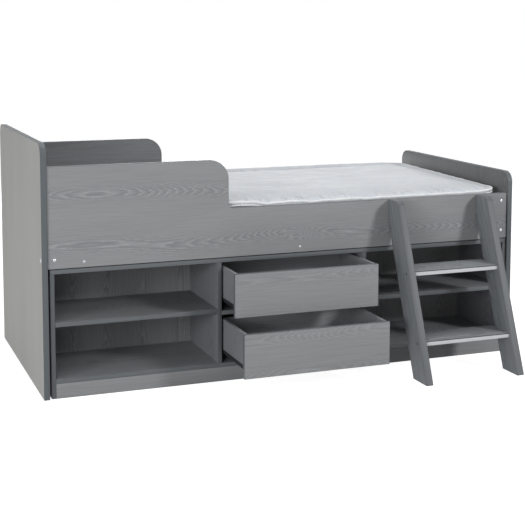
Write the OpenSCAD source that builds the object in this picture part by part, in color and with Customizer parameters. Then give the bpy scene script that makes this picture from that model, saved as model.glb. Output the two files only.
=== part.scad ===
// Mid sleeper bed: two end panels, stepped side panels, a slatted base with its mattress, a low cabinet
// of open bays and two drawers underneath, and a ladder with two treads at the foot end.
// Inside the modules x runs from the headboard's outer face to the footboard, y from the front edges of
// the end panels to the back, and z up from the floor. The rest state has both drawers partly open.

/* [Mattress] */
// Length of the mattress
mattress_length = 1896; // [1800:2:2000]
// Width of the mattress
mattress_width = 900; // [800:2:1200]
// Height of the mattress at its top edge
mattress_height = 148; // [120:1:170]
// Rise of the mattress's middle above its edge
mattress_crown = 10; // [4:1:20]
// Corner radius of the mattress in plan
mattress_corner_r = 45; // [25:1:90]
// How far the mattress's sides are drawn in between the edge cords
mattress_draw = 9; // [2:1:20]
// How far the mattress's edges bow inwards between its corners
mattress_bow = 5; // [0:1:12]
// Radius of the cords along the mattress's edges
mattress_cord_r = 5; // [3:0.5:7]
// Free space between the mattress and the headboard
mattress_head_gap = 4; // [2:1:30]
// Free space between the mattress and the footboard
mattress_foot_gap = 16; // [4:1:40]
// Free space between the mattress and each side panel
mattress_side_gap = 6; // [4:1:30]

/* [End panels] */
// Thickness of the headboard and the footboard
end_panel_t = 22; // [18:1:32]
// Height of the headboard
headboard_h = 943; // [900:1:1100]
// Height of the footboard
footboard_h = 760; // [720:1:860]
// Radius of the end panels' top corners
end_corner_r = 45; // [20:1:90]

/* [Side panels] */
// Thickness of the side panels
side_panel_t = 18; // [16:1:28]
// How far the side panels stand back from the end panels' edges
side_setback = 6; // [3:1:20]
// Height of the side panels' lower edge above the floor
side_bottom_z = 483; // [440:1:560]
// Height of the side panels along the low stretch
side_low_h = 189; // [175:1:220]
// Height of the side panels along the high stretch at the head
side_high_h = 375; // [330:1:400]
// Length of the high stretch
side_high_length = 694; // [500:1:1000]
// Radius of the high stretch's free corner
step_r = 75; // [30:1:120]
// Radius of the hollow where the high stretch meets the low one
step_hollow_r = 20; // [8:1:50]

/* [Slatted base] */
// Width of the rails that carry the slats
slat_rail_w = 22; // [18:1:32]
// Height of the rails that carry the slats
slat_rail_h = 36; // [30:1:50]
// Height of the rails above the side panels' lower edge
slat_rail_lift = 4; // [0:1:12]
// Free space between a slat rail and each end panel
slat_rail_end_gap = 45; // [20:1:80]
// Number of slats
slat_count = 13; // [9:1:15]
// Width of a slat
slat_w = 70; // [50:1:90]
// Thickness of a slat
slat_t = 18; // [14:1:22]
// Free space between a slat's end and the side panel
slat_side_gap = 2; // [1:0.5:6]

/* [Cabinet] */
// Thickness of the cabinet's boards
board_t = 16; // [15:1:19]
// Free space between the cabinet and the headboard
cabinet_head_gap = 8; // [2:1:30]
// Free space between the cabinet's top and the side panels
cabinet_top_gap = 3; // [1:0.5:10]
// How far the cabinet's front stands back from the end panels' edges
cabinet_setback = 8; // [8:1:20]
// Depth of the cabinet
cabinet_depth = 372; // [368:1:440]
// Distance of the cabinet's back from its boards' rear edges
back_inset = 9; // [6:1:11]
// Thickness of the cabinet's back
back_t = 3; // [2.5:0.5:4]
// Height of the plinths
plinth_h = 56; // [40:1:80]
// Width of the middle bay, which holds the drawers
drawer_bay_w = 594; // [500:1:700]
// Height of the shelves' undersides above the floor
shelf_z = 267; // [200:1:340]
// Free space between a shelf's end and the bay's side
shelf_end_gap = 0.5; // [0.3:0.1:0.9]
// Depth of the grooves that hold the cabinet's back
back_groove = 5; // [3:0.5:7]
// Distance of the shelf pins from a shelf's front and rear edges
shelf_pin_inset = 40; // [20:1:50]
// Distance of the cabinet's dowels from its front and from its back
dowel_inset = 70; // [62:1:100]
// Distance of the screws into the footboard from the cabinet's bottom and top boards
footboard_screw_inset = 75; // [50:1:120]

/* [Drawers] */
// Thickness of the drawer fronts
drawer_front_t = 16; // [14:1:19]
// Free space between a drawer front and the bay's sides
front_side_gap = 2; // [1:0.5:4]
// Free space below a drawer front
front_bottom_gap = 3; // [1.5:0.5:6]
// Open slot above a drawer front, where the fingers reach in
finger_slot = 19; // [14:1:30]
// Thickness of the drawers' sides and backs
drawer_side_t = 12; // [10:1:15]
// Length of the drawers' sides behind the front
drawer_side_length = 330; // [300:1:336]
// Height of the sides' lower edges above the front's lower edge
drawer_side_lift = 33; // [20:1:50]
// Thickness of the drawers' bases
drawer_base_t = 4; // [3:0.5:6]
// Height of the bases above the sides' lower edges
drawer_base_lift = 10; // [9:1:14]
// Depth of the grooves that join a drawer's boards
drawer_groove = 5; // [3:0.5:6]
// How much lower a drawer's back is than its sides
drawer_back_drop = 12; // [4:1:30]
// Distance of a drawer's back from its sides' rear ends
drawer_back_inset = 8; // [4:1:20]
// How far the upper drawer stands open at rest
upper_open = 148; // [0:1:240]
// How far the lower drawer stands open at rest
lower_open = 251; // [0:1:258]

/* [Runners] */
// Free space between a drawer side and the bay's side
runner_gap = 8; // [8:0.5:14]
// Thickness of the runners' sheet metal
runner_sheet = 1.2; // [1:0.1:1.5]
// Diameter of the runner rollers
roller_d = 12; // [10:1:16]
// Width of the runner rollers
roller_w = 4.2; // [3.6:0.1:4.4]
// Diameter of the pins that the rollers turn on
roller_pin_d = 4; // [3:0.5:5]
// Space between a roller and what it doesn't touch
runner_play = 0.4; // [0.3:0.05:0.6]
// Running clearance between a roller and the track under it or over it
roller_track_gap = 0.1; // [0.05:0.05:0.2]
// Free space at each end of a runner rail
rail_end_gap = 2; // [1:0.5:4]
// Distance of a rear roller's pin from the rear end of its drawer's sides
rear_roller_inset = 10; // [9:1:20]
// Width of the flange under a drawer side
drawer_flange_w = 10; // [9:0.5:12]
// Distance of a rail's first screw from the rail's front
first_rail_screw = 48; // [20:1:80]
// Distance between a rail's screws
rail_screw_spacing = 220; // [100:1:225]

/* [Ladder] */
// Width of the ladder over both stiles
ladder_w = 430; // [360:1:520]
// Free space between the ladder and the footboard
ladder_foot_gap = 116; // [60:1:200]
// Thickness of a stile
stile_t = 30; // [26:1:40]
// How far the stiles' feet stand out in front of the end panels
ladder_reach = 332; // [280:1:380]
// Depth of a stile along the floor
stile_foot_depth = 110; // [90:1:130]
// Depth of a stile at its top
stile_top_depth = 76; // [60:1:110]
// Radius of a stile's top front corner
stile_corner_r = 30; // [10:1:40]
// Height of the lower tread's top above the floor
first_rise = 155; // [120:1:200]
// Height from the lower tread to the upper tread
tread_rise = 254; // [220:1:280]
// Depth of a tread
tread_depth = 140; // [110:1:160]
// Thickness of a tread
tread_t = 18; // [16:1:28]
// How far a tread's front edge stands back from the stiles' front
tread_setback = 6; // [3:1:16]
// Depth of the housings that hold the treads' ends
tread_housing = 8; // [4:1:12]

/* [Fasteners] */
// Diameter of the bed bolts and ladder bolts
bolt_d = 6; // [5:0.5:8]
// Diameter of their flat heads
bolt_head_d = 15; // [12:0.5:18]
// Thickness of their flat heads
bolt_head_t = 2.2; // [1.5:0.1:3]
// Diameter of the barrel nuts
nut_d = 10; // [9:0.5:12]
// Length of the barrel nuts
nut_length = 14; // [13:0.5:15]
// Distance from a side panel's end to its barrel nuts
nut_inset = 25.6; // [20:0.2:36]
// Length of a ladder bolt under its head
ladder_bolt_length = 50; // [36:1:60]
// Diameter of the wood screws
screw_d = 4.5; // [3.5:0.5:5]
// Diameter of their heads
screw_head_d = 8; // [7:0.5:10]
// Thickness of their heads
screw_head_t = 2; // [1.5:0.1:3]
// Length of the screws that hold the slat rails
rail_screw_length = 35; // [30:1:38]
// Distance of a rail's first screw from the headboard
rail_screw_head_inset = 134; // [80:1:200]
// Distance of a rail's last screw from the footboard
rail_screw_foot_inset = 76; // [60:1:200]
// Length of the screws that hold the slats
slat_screw_length = 28; // [26:1:30]
// Length of the screws that hold the cabinet to the footboard
cabinet_screw_length = 30; // [26:1:32]
// Length of the screws that hold the treads
tread_screw_length = 60; // [45:1:70]
// Distance of a tread's screws behind its front edge
tread_screw_inset = 12; // [8:1:60]
// Depth of the top ladder bolt below the ladder's top
ladder_bolt_drop = 22; // [14:1:30]
// Distance between the two bolts of a stile
ladder_bolt_pitch = 38; // [24:1:70]
// Diameter of the small screws that hold the runners
small_screw_d = 3.5; // [3:0.5:4]
// Diameter of their heads
small_head_d = 6.5; // [6:0.5:7]
// Thickness of their heads
small_head_t = 0.4; // [0.3:0.05:0.5]
// Length of the small screws
small_screw_length = 9.5; // [8:0.5:10]
// Diameter of the wooden dowels
dowel_d = 8; // [6:1:10]
// Length of the wooden dowels
dowel_length = 30; // [26:1:36]
// How deep a dowel sits in the board whose face it enters
dowel_face_depth = 12; // [10:1:13]
// Diameter of the shelf pins
shelf_pin_d = 5; // [4:0.5:7]
// How deep a shelf pin sits in the board, and how far it stands out
shelf_pin_reach = 8; // [6:0.5:10]

/* [Hidden] */

// Unit vectors
X = [1, 0, 0];
Y = [0, 1, 0];
Z = [0, 0, 1];

// Clearances: round a fastener, round a board in its groove, and under the mattress
hole_gap = 0.2;
groove_gap = 0.2;
soft_gap = 0.3;

// Width and depth of the slot across a barrel nut
nut_slot = 1.2;

// Overall sizes, worked out from the mattress
inner_length = mattress_length + mattress_head_gap + mattress_foot_gap;
inner_width = mattress_width + 2 * mattress_side_gap;
bed_length = inner_length + 2 * end_panel_t;
bed_width = inner_width + 2 * side_panel_t + 2 * side_setback;
foot_x = end_panel_t + inner_length;
panel_back_y = side_setback + side_panel_t;

// Slatted base
slat_rail_z = side_bottom_z + slat_rail_lift;
slat_z = slat_rail_z + slat_rail_h;
slat_pitch = (inner_length - 2 * slat_rail_end_gap - slat_w) / (slat_count - 1);
mattress_z = slat_z + slat_t + soft_gap;
rail_screw_pitch = (inner_length - rail_screw_head_inset - rail_screw_foot_inset) / 2;

// Cabinet
cabinet_x = end_panel_t + cabinet_head_gap;
cabinet_length = foot_x - cabinet_x;
cabinet_h = side_bottom_z - cabinet_top_gap;
cabinet_inside = cabinet_depth - back_inset - back_t;
cabinet_back_y = cabinet_setback + cabinet_inside;
floor_z = plinth_h + board_t;
ceiling_z = cabinet_h - board_t;
side_bay_w = (cabinet_length - 4 * board_t - drawer_bay_w) / 2;
left_bay_x = cabinet_x + board_t;
left_divider_x = left_bay_x + side_bay_w;
drawer_bay_x = left_divider_x + board_t;
right_divider_x = drawer_bay_x + drawer_bay_w;
right_bay_x = right_divider_x + board_t;
right_side_x = foot_x - board_t;
bay_h = (ceiling_z - floor_z - board_t) / 2;
drawer_shelf_z = floor_z + bay_h;
shelf_pin_z = shelf_z - shelf_pin_d / 2;
shelf_pin_y = [cabinet_setback + shelf_pin_inset, cabinet_back_y - shelf_pin_inset];
dowel_y = [cabinet_setback + dowel_inset, cabinet_back_y - dowel_inset];
footboard_screw_z = [floor_z + footboard_screw_inset, ceiling_z - footboard_screw_inset];

// Drawers: an upper and a lower one in bays of one height
upper_floor_z = drawer_shelf_z + board_t;
lower_floor_z = floor_z;
drawer_front_h = bay_h - front_bottom_gap - finger_slot;
drawer_side_h = drawer_front_h - drawer_side_lift;
drawer_back_h = drawer_side_h - drawer_back_drop;

// Runners: heights count from the lower edge of a drawer side, places across count from the bay's side
rail_web_x = runner_gap - runner_sheet;
cabinet_flange_w = rail_web_x - runner_play;
roller_x = (runner_sheet + rail_web_x - roller_w) / 2;
rear_roller_z = roller_track_gap + roller_d / 2;
front_roller_z = runner_play + roller_d / 2;
drawer_flange_z = front_roller_z + roller_d / 2 + roller_track_gap;
cabinet_lip_z = drawer_flange_z + runner_sheet + runner_play;
roller_bore_gap = 0.05;
cabinet_rail_y = cabinet_setback + drawer_front_t + rail_end_gap;
cabinet_rail_length = cabinet_inside - drawer_front_t - 2 * rail_end_gap;
front_roller_y = cabinet_rail_y + roller_d / 2 + rail_end_gap;
rail_screw_y = [first_rail_screw, first_rail_screw + rail_screw_spacing];

// Ladder
ladder_right_x = foot_x - ladder_foot_gap;
ladder_x = ladder_right_x - ladder_w;
right_stile_x = ladder_right_x - stile_t;
stile_top_z = side_bottom_z + side_low_h;
stile_slope = (ladder_reach + side_setback - stile_top_depth) / stile_top_z;
stile_lean = atan(stile_slope);
upper_tread_z = first_rise + tread_rise;
ladder_bolt_z = [stile_top_z - ladder_bolt_drop, stile_top_z - ladder_bolt_drop - ladder_bolt_pitch];

// Places along the side panels' ends, counted up from their lower edge
head_bolts = [34];
foot_bolts = [34, 157];
head_dowels = [157, 310];
foot_dowels = [95];

// Colours
panel_grey = "#8e9092";
edge_grey = "#787b7e";
cabinet_grey = "#76797c";
pine = "#d8bd92";
cover_white = "#dfe2e3";
zinc = "#c6c8ca";
runner_black = "#2b2c2e";
roller_white = "#dcdcd6";
beech = "#cda878";

// General shapes

// Moves the bed from its own corner to the middle of its footprint
module placed() {
    translate([-bed_length / 2, (ladder_reach - bed_width) / 2, 0]) children();
}

// Repeats the children's shape at the back, turned over across the bed
module across() {
    translate([0, bed_width, 0]) mirror(Y) children();
}

// The same at the right side of the drawer bay
module other_side() {
    translate([2 * drawer_bay_x + drawer_bay_w, 0, 0]) mirror(X) children();
}

// A board with its low corner at p and the size s
module board(p, s) {
    translate(p) cube(s);
}

// A round rod from p along an axis; a negative length runs the other way
module rod(p, axis, d, length) {
    turn = axis == X ? [0, 90, 0] : axis == Y ? [-90, 0, 0] : [0, 0, 0];
    translate(p + axis * min(length, 0)) rotate(turn) cylinder(d = d, h = abs(length), $fn = 32);
}

// A screw from p along an axis, with its flat head inside the surface; a negative length runs back
module screw(p, axis, length, d, head_d, head_t) {
    way = sign(length);
    rod(p, axis, head_d, way * head_t);
    rod(p + axis * way * head_t, axis, d, length - way * head_t);
}

module wood_screw(p, axis, length) {
    screw(p, axis, length, screw_d, screw_head_d, screw_head_t);
}

// The hole for a wood screw, with its seat for the head
module wood_screw_hole(p, axis, length) {
    way = sign(length);
    rod(p - axis * way, axis, screw_head_d + hole_gap, way * (screw_head_t + 1));
    rod(p, axis, screw_d + hole_gap, length + way * hole_gap);
}

// A dowel that enters a board's face by its face depth, from p against the axis
module dowel(p, axis, way) {
    rod(p - axis * way * dowel_face_depth, axis, dowel_d, way * dowel_length);
}

module dowel_hole(p, axis, way) {
    ends = hole_gap / 2;
    start = p - axis * way * (dowel_face_depth + ends);
    rod(start, axis, dowel_d + hole_gap, way * (dowel_length + 2 * ends));
}

// End panels

module end_panel_outline(h) {
    r = end_corner_r;
    square([bed_width, h - r]);
    translate([r, 0]) square([bed_width - 2 * r, h]);
    for (y = [r, bed_width - r]) translate([y, h - r]) circle(r, $fn = 96);
}

// One bed bolt with its head on the end panel's outer face at x, running along the bed
module bed_bolt(x, y, z, way) {
    rod([x, y, z], X, bolt_head_d, -way * bolt_head_t);
    rod([x, y, z], X, bolt_d, way * (end_panel_t + nut_inset + nut_d / 2 + 2));
}

module bed_bolt_hole(x, y, z, way) {
    length = end_panel_t + nut_inset + nut_d / 2 + 2 + hole_gap;
    rod([x - way, y, z], X, bolt_d + hole_gap, way * (length + 1));
}

// Everything that joins the front side panel to the end panels, as shapes or as their holes
module front_corner_bolts() {
    y = side_setback + side_panel_t / 2;
    for (z = head_bolts) bed_bolt(0, y, side_bottom_z + z, 1);
    for (z = foot_bolts) bed_bolt(bed_length, y, side_bottom_z + z, -1);
}

module front_corner_bolt_holes() {
    y = side_setback + side_panel_t / 2;
    for (z = head_bolts) bed_bolt_hole(0, y, side_bottom_z + z, 1);
    for (z = foot_bolts) bed_bolt_hole(bed_length, y, side_bottom_z + z, -1);
}

module front_corner_dowels() {
    y = side_setback + side_panel_t / 2;
    for (z = head_dowels) dowel([end_panel_t, y, side_bottom_z + z], X, 1);
    for (z = foot_dowels) dowel([foot_x, y, side_bottom_z + z], X, -1);
}

module front_corner_dowel_holes() {
    y = side_setback + side_panel_t / 2;
    for (z = head_dowels) dowel_hole([end_panel_t, y, side_bottom_z + z], X, 1);
    for (z = foot_dowels) dowel_hole([foot_x, y, side_bottom_z + z], X, -1);
}

module corner_holes() {
    front_corner_bolt_holes();
    front_corner_dowel_holes();
    across() front_corner_bolt_holes();
    across() front_corner_dowel_holes();
}

module headboard() {
    color(panel_grey) placed() difference() {
        rotate([90, 0, 90]) linear_extrude(end_panel_t) end_panel_outline(headboard_h);
        corner_holes();
    }
}

module footboard() {
    color(panel_grey) placed() difference() {
        translate([foot_x, 0, 0]) rotate([90, 0, 90]) linear_extrude(end_panel_t)
            end_panel_outline(footboard_h);
        corner_holes();
        footboard_screw_holes();
    }
}

// Side panels

module side_outline() {
    square([inner_length, side_low_h]);
    square([side_high_length - step_r, side_high_h]);
    square([side_high_length, side_high_h - step_r]);
    translate([side_high_length - step_r, side_high_h - step_r]) circle(step_r, $fn = 128);
    translate([side_high_length, side_low_h]) difference() {
        translate([-1, -1]) square(step_hollow_r + 1);
        translate([step_hollow_r, step_hollow_r]) circle(step_hollow_r, $fn = 64);
    }
}

// Places of a side panel's barrel nuts
function nut_places() = concat(
    [for (z = head_bolts) [end_panel_t + nut_inset, side_bottom_z + z]],
    [for (z = foot_bolts) [foot_x - nut_inset, side_bottom_z + z]]
);

function rail_screw_places() =
    [for (i = [0 : 2]) end_panel_t + rail_screw_head_inset + i * rail_screw_pitch];

module rail_screw_holes() {
    z = slat_rail_z + slat_rail_h / 2;
    for (x = rail_screw_places()) wood_screw_hole([x, side_setback, z], Y, rail_screw_length);
}

// The plain front panel with its corner fixings' holes and the holes for the slat rail's screws
module plain_side_panel() {
    difference() {
        translate([end_panel_t, panel_back_y, side_bottom_z])
            rotate([90, 0, 0]) linear_extrude(side_panel_t) side_outline();
        front_corner_bolt_holes();
        front_corner_dowel_holes();
        rail_screw_holes();
        for (p = nut_places())
            rod([p.x, side_setback - 1, p.y], Y, nut_d + hole_gap, nut_length + 1 + 2 * hole_gap);
    }
}

module front_side_panel() {
    color(panel_grey) placed() difference() {
        plain_side_panel();
        ladder_bolt_holes();
    }
}

module rear_side_panel() {
    color(panel_grey) placed() across() plain_side_panel();
}

module front_nuts() {
    y = side_setback + hole_gap;
    for (p = nut_places()) difference() {
        rod([p.x, y, p.y], Y, nut_d, nut_length);
        rod([p.x - nut_d, side_setback + side_panel_t / 2, p.y], X, bolt_d + hole_gap, 2 * nut_d);
        board([p.x - nut_d, y - nut_slot, p.y - nut_slot / 2], [2 * nut_d, 2 * nut_slot, nut_slot]);
    }
}

module barrel_nuts() {
    color(zinc) placed() {
        front_nuts();
        across() front_nuts();
    }
}

module bed_bolts() {
    color(zinc) placed() {
        front_corner_bolts();
        across() front_corner_bolts();
    }
}

// Slatted base

function slat_places() =
    [for (i = [0 : slat_count - 1]) end_panel_t + slat_rail_end_gap + i * slat_pitch];

module slat_screw_holes() {
    for (x = slat_places())
        wood_screw_hole([x + slat_w / 2, panel_back_y + slat_rail_w / 2, slat_z + slat_t], Z,
            -slat_screw_length);
}

module plain_slat_rail() {
    difference() {
        board([end_panel_t + slat_rail_end_gap, panel_back_y, slat_rail_z],
            [inner_length - 2 * slat_rail_end_gap, slat_rail_w, slat_rail_h]);
        rail_screw_holes();
        slat_screw_holes();
    }
}

module front_slat_rail() {
    color(pine) placed() plain_slat_rail();
}

module rear_slat_rail() {
    color(pine) placed() across() plain_slat_rail();
}

module bed_slats() {
    color(pine) placed() difference() {
        for (x = slat_places())
            board([x, panel_back_y + slat_side_gap, slat_z],
                [slat_w, inner_width - 2 * slat_side_gap, slat_t]);
        slat_screw_holes();
        across() slat_screw_holes();
    }
}

module front_base_screws() {
    z = slat_rail_z + slat_rail_h / 2;
    for (x = rail_screw_places()) wood_screw([x, side_setback, z], Y, rail_screw_length);
    for (x = slat_places())
        wood_screw([x + slat_w / 2, panel_back_y + slat_rail_w / 2, slat_z + slat_t], Z,
            -slat_screw_length);
}

module base_screws() {
    color(zinc) placed() {
        front_base_screws();
        across() front_base_screws();
    }
}

// Mattress

// Steps round a corner, along a long edge and along a short edge, and how far in the crown levels off
mattress_corner_steps = 5;
mattress_edge_steps = [10, 6];
crown_reach = 230;

// How far an edge bows inwards at a share s of its length
function bow(s) = 4 * s * (1 - s) * mattress_bow;

// One closed ring: a rounded rectangle set in by d, with its edges bowed in a little
function mattress_ring(d, z) =
    let (
        hx = mattress_length / 2 - d,
        hy = mattress_width / 2 - d,
        r = max(mattress_corner_r - d, 10),
        corner = [[1, 1], [-1, 1], [-1, -1], [1, -1]]
    )
    [for (k = [0 : 3])
        let (
            c = [corner[k].x * (hx - r), corner[k].y * (hy - r)],
            n = corner[(k + 1) % 4],
            e = [n.x * (hx - r), n.y * (hy - r)],
            out = [cos(90 * k + 90), sin(90 * k + 90)],
            steps = mattress_edge_steps[k % 2]
        )
        each concat(
            [for (i = [0 : mattress_corner_steps])
                let (a = 90 * k + 90 * i / mattress_corner_steps)
                [c.x + r * cos(a), c.y + r * sin(a), z]],
            [for (i = [1 : steps - 1])
                let (s = i / steps)
                [c.x + (e.x - c.x) * s + out.x * (r - bow(s)),
                 c.y + (e.y - c.y) * s + out.y * (r - bow(s)), z]]
        )];

// Height of the top at a distance d in from the edge
function crown_at(d) = mattress_height + mattress_crown * (1 - pow(max(0, 1 - d / crown_reach), 3));

// Rings from the flat underside, over the drawn-in side between its two edge cords, to the crowned top
function mattress_rings() =
    let (
        c = mattress_cord_r,
        h = mattress_height,
        side = h - 4 * c - 6
    )
    concat(
        [[2.8 * c, 0], [0.8 * c, 0.4 * c], [0, 1.4 * c], [0.6 * c, 2 * c + 3]],
        [for (i = [1 : 5])
            let (s = i / 6)
            [0.6 * c + mattress_draw * sin(180 * s), 2 * c + 3 + side * s]],
        [[0.6 * c, h - 2 * c - 3], [0, h - 1.4 * c], [0.3 * c, h - 0.5 * c], [1.2 * c, h],
         [2.4 * c, h - 1]],
        [for (share = [0.13, 0.26, 0.43, 0.65, 1]) [crown_reach * share, crown_at(crown_reach * share)]]
    );

module mattress() {
    rings = mattress_rings();
    points = [for (ring = rings) each mattress_ring(ring[0], ring[1])];
    n = len(mattress_ring(0, 0));
    last = len(rings) - 1;
    sides = [for (j = [0 : last - 1], i = [0 : n - 1])
        let (a = j * n + i, b = j * n + (i + 1) % n)
        each [[a, a + n, b], [b, a + n, b + n]]];
    caps = [for (i = [1 : n - 2])
        each [[0, i, i + 1], [last * n, last * n + i + 1, last * n + i]]];
    color(cover_white) placed()
        translate([end_panel_t + mattress_head_gap + mattress_length / 2, bed_width / 2, mattress_z])
            polyhedron(points, concat(caps, sides), convexity = 4);
}

// Cabinet

module back_groove_cut() {
    g = groove_gap;
    board([left_bay_x - back_groove - g, cabinet_back_y - g, floor_z - back_groove - g],
        [right_side_x - left_bay_x + 2 * (back_groove + g), back_t + 2 * g,
         ceiling_z - floor_z + 2 * (back_groove + g)]);
}

// Every dowel of the cabinet, as [place, axis, way], from the face that it enters
function upright_x() = [
    cabinet_x + board_t / 2, left_divider_x + board_t / 2,
    right_divider_x + board_t / 2, right_side_x + board_t / 2
];
bottom_mid_z = plinth_h + board_t / 2;
shelf_mid_z = drawer_shelf_z + board_t / 2;
plinth_mid_y = [cabinet_setback + board_t / 2, cabinet_setback + cabinet_depth - board_t / 2];

function cabinet_dowel_places() = concat(
    [for (x = upright_x(), y = dowel_y) [[x, y, ceiling_z], Z, -1]],
    [for (i = [1, 2], y = dowel_y) [[upright_x()[i], y, floor_z], Z, 1]],
    [for (y = dowel_y) [[left_bay_x, y, bottom_mid_z], X, 1]],
    [for (y = dowel_y) [[right_side_x, y, bottom_mid_z], X, -1]],
    [for (y = dowel_y) [[drawer_bay_x, y, shelf_mid_z], X, 1]],
    [for (y = dowel_y) [[right_divider_x, y, shelf_mid_z], X, -1]],
    [for (y = plinth_mid_y) [[left_bay_x, y, plinth_h / 2], X, 1]],
    [for (y = plinth_mid_y) [[right_side_x, y, plinth_h / 2], X, -1]]
);

module cabinet_dowel_holes() {
    for (p = cabinet_dowel_places()) dowel_hole(p[0], p[1], p[2]);
}

module cabinet_top() {
    color(cabinet_grey) placed() difference() {
        board([cabinet_x, cabinet_setback, ceiling_z], [cabinet_length, cabinet_depth, board_t]);
        cabinet_dowel_holes();
        back_groove_cut();
    }
}

module cabinet_bottom() {
    color(cabinet_grey) placed() difference() {
        board([left_bay_x, cabinet_setback, plinth_h], [right_side_x - left_bay_x, cabinet_depth, board_t]);
        cabinet_dowel_holes();
        back_groove_cut();
    }
}

module cabinet_left_side() {
    color(cabinet_grey) placed() difference() {
        board([cabinet_x, cabinet_setback, 0], [board_t, cabinet_depth, ceiling_z]);
        cabinet_dowel_holes();
        back_groove_cut();
        shelf_pin_holes();
    }
}

module cabinet_right_side() {
    color(cabinet_grey) placed() difference() {
        board([right_side_x, cabinet_setback, 0], [board_t, cabinet_depth, ceiling_z]);
        cabinet_dowel_holes();
        back_groove_cut();
        shelf_pin_holes();
        footboard_screw_holes();
    }
}

module plain_divider(x) {
    difference() {
        board([x, cabinet_setback, floor_z], [board_t, cabinet_inside - groove_gap, ceiling_z - floor_z]);
        cabinet_dowel_holes();
        shelf_pin_holes();
        cabinet_rail_screw_holes();
        other_side() cabinet_rail_screw_holes();
    }
}

module left_divider() {
    color(cabinet_grey) placed() plain_divider(left_divider_x);
}

module right_divider() {
    color(cabinet_grey) placed() plain_divider(right_divider_x);
}

module plain_shelf(x) {
    board([x + shelf_end_gap, cabinet_setback, shelf_z],
        [side_bay_w - 2 * shelf_end_gap, cabinet_inside - groove_gap, board_t]);
}

module left_shelf() {
    color(cabinet_grey) placed() plain_shelf(left_bay_x);
}

module right_shelf() {
    color(cabinet_grey) placed() plain_shelf(right_bay_x);
}

module drawer_shelf() {
    color(cabinet_grey) placed() difference() {
        board([drawer_bay_x, cabinet_setback, drawer_shelf_z],
            [drawer_bay_w, cabinet_inside - groove_gap, board_t]);
        cabinet_dowel_holes();
    }
}

module plain_plinth(y) {
    difference() {
        board([left_bay_x, y, 0], [right_side_x - left_bay_x, board_t, plinth_h]);
        cabinet_dowel_holes();
    }
}

module front_plinth() {
    color(panel_grey) placed() plain_plinth(cabinet_setback);
}

module rear_plinth() {
    color(cabinet_grey) placed() plain_plinth(cabinet_setback + cabinet_depth - board_t);
}

module cabinet_back() {
    color(cabinet_grey) placed()
        board([left_bay_x - back_groove, cabinet_back_y, floor_z - back_groove],
            [right_side_x - left_bay_x + 2 * back_groove, back_t, ceiling_z - floor_z + 2 * back_groove]);
}

// The four walls that carry shelf pins, as [face, way into the bay]
function pin_walls() = [[left_bay_x, 1], [left_divider_x, -1], [right_bay_x, 1], [right_side_x, -1]];

module shelf_pin_holes() {
    depth = shelf_pin_reach + hole_gap;
    for (wall = pin_walls(), y = shelf_pin_y)
        rod([wall[0] + wall[1], y, shelf_pin_z], X, shelf_pin_d + hole_gap, -wall[1] * (depth + 1));
}

module shelf_pins() {
    color(zinc) placed()
        for (wall = pin_walls(), y = shelf_pin_y)
            rod([wall[0] + wall[1] * shelf_pin_reach, y, shelf_pin_z], X, shelf_pin_d,
                -wall[1] * 2 * shelf_pin_reach);
}

module wooden_dowels() {
    color(beech) placed() {
        for (p = cabinet_dowel_places()) dowel(p[0], p[1], p[2]);
        front_corner_dowels();
        across() front_corner_dowels();
    }
}

module footboard_screw_holes() {
    for (y = dowel_y, z = footboard_screw_z) wood_screw_hole([right_side_x, y, z], X, cabinet_screw_length);
}

// Small screws of the cabinet's rails, in the left side of the drawer bay
module cabinet_rail_screw_holes() {
    for (z = [lower_rail_z, upper_rail_z], y = rail_screw_y)
        rod([drawer_bay_x + runner_sheet + 1, cabinet_rail_y + y, z + roller_d / 2], X,
            small_screw_d + hole_gap, -(small_screw_length + hole_gap + 1));
}

module cabinet_rail_screws() {
    for (z = [lower_rail_z, upper_rail_z], y = rail_screw_y)
        screw([drawer_bay_x + runner_sheet + small_head_t, cabinet_rail_y + y, z + roller_d / 2], X,
            -(small_screw_length + small_head_t), small_screw_d, small_head_d, small_head_t);
}

module cabinet_screws() {
    color(zinc) placed() {
        for (y = dowel_y, z = footboard_screw_z) wood_screw([right_side_x, y, z], X, cabinet_screw_length);
        cabinet_rail_screws();
        other_side() cabinet_rail_screws();
    }
}

// Drawers

// Height of a drawer side's lower edge, above which the runners count, from the floor of its bay
function side_edge_z(bay_z) = bay_z + front_bottom_gap + drawer_side_lift;
upper_rail_z = side_edge_z(upper_floor_z);
lower_rail_z = side_edge_z(lower_floor_z);

function front_y(open) = cabinet_setback - open;
function sides_y(open) = front_y(open) + drawer_front_t;
function back_board_y(open) =
    sides_y(open) + drawer_side_length - drawer_back_inset - drawer_side_t;
side_inner_x = runner_gap + drawer_side_t;

// The drawer's left side, or with a margin the groove that it sits in
module left_side_board(bay_z, open, margin) {
    board([drawer_bay_x + runner_gap - margin, sides_y(open) - drawer_groove - margin,
           side_edge_z(bay_z) - margin],
        [drawer_side_t + 2 * margin, drawer_side_length + drawer_groove + margin,
         drawer_side_h + 2 * margin]);
}

module base_board(bay_z, open, margin) {
    m = margin;
    x = drawer_bay_x + side_inner_x - drawer_groove;
    y = sides_y(open) - drawer_groove;
    board([x - m, y - m, side_edge_z(bay_z) + drawer_base_lift - m],
        [drawer_bay_w - 2 * (side_inner_x - drawer_groove) + 2 * m,
         back_board_y(open) + drawer_groove - y + 2 * m, drawer_base_t + 2 * m]);
}

module back_board(bay_z, open, margin) {
    m = margin;
    x = drawer_bay_x + side_inner_x - drawer_groove;
    board([x - m, back_board_y(open) - m, side_edge_z(bay_z) - m],
        [drawer_bay_w - 2 * (side_inner_x - drawer_groove) + 2 * m, drawer_side_t + 2 * m,
         drawer_back_h + 2 * m]);
}

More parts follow.
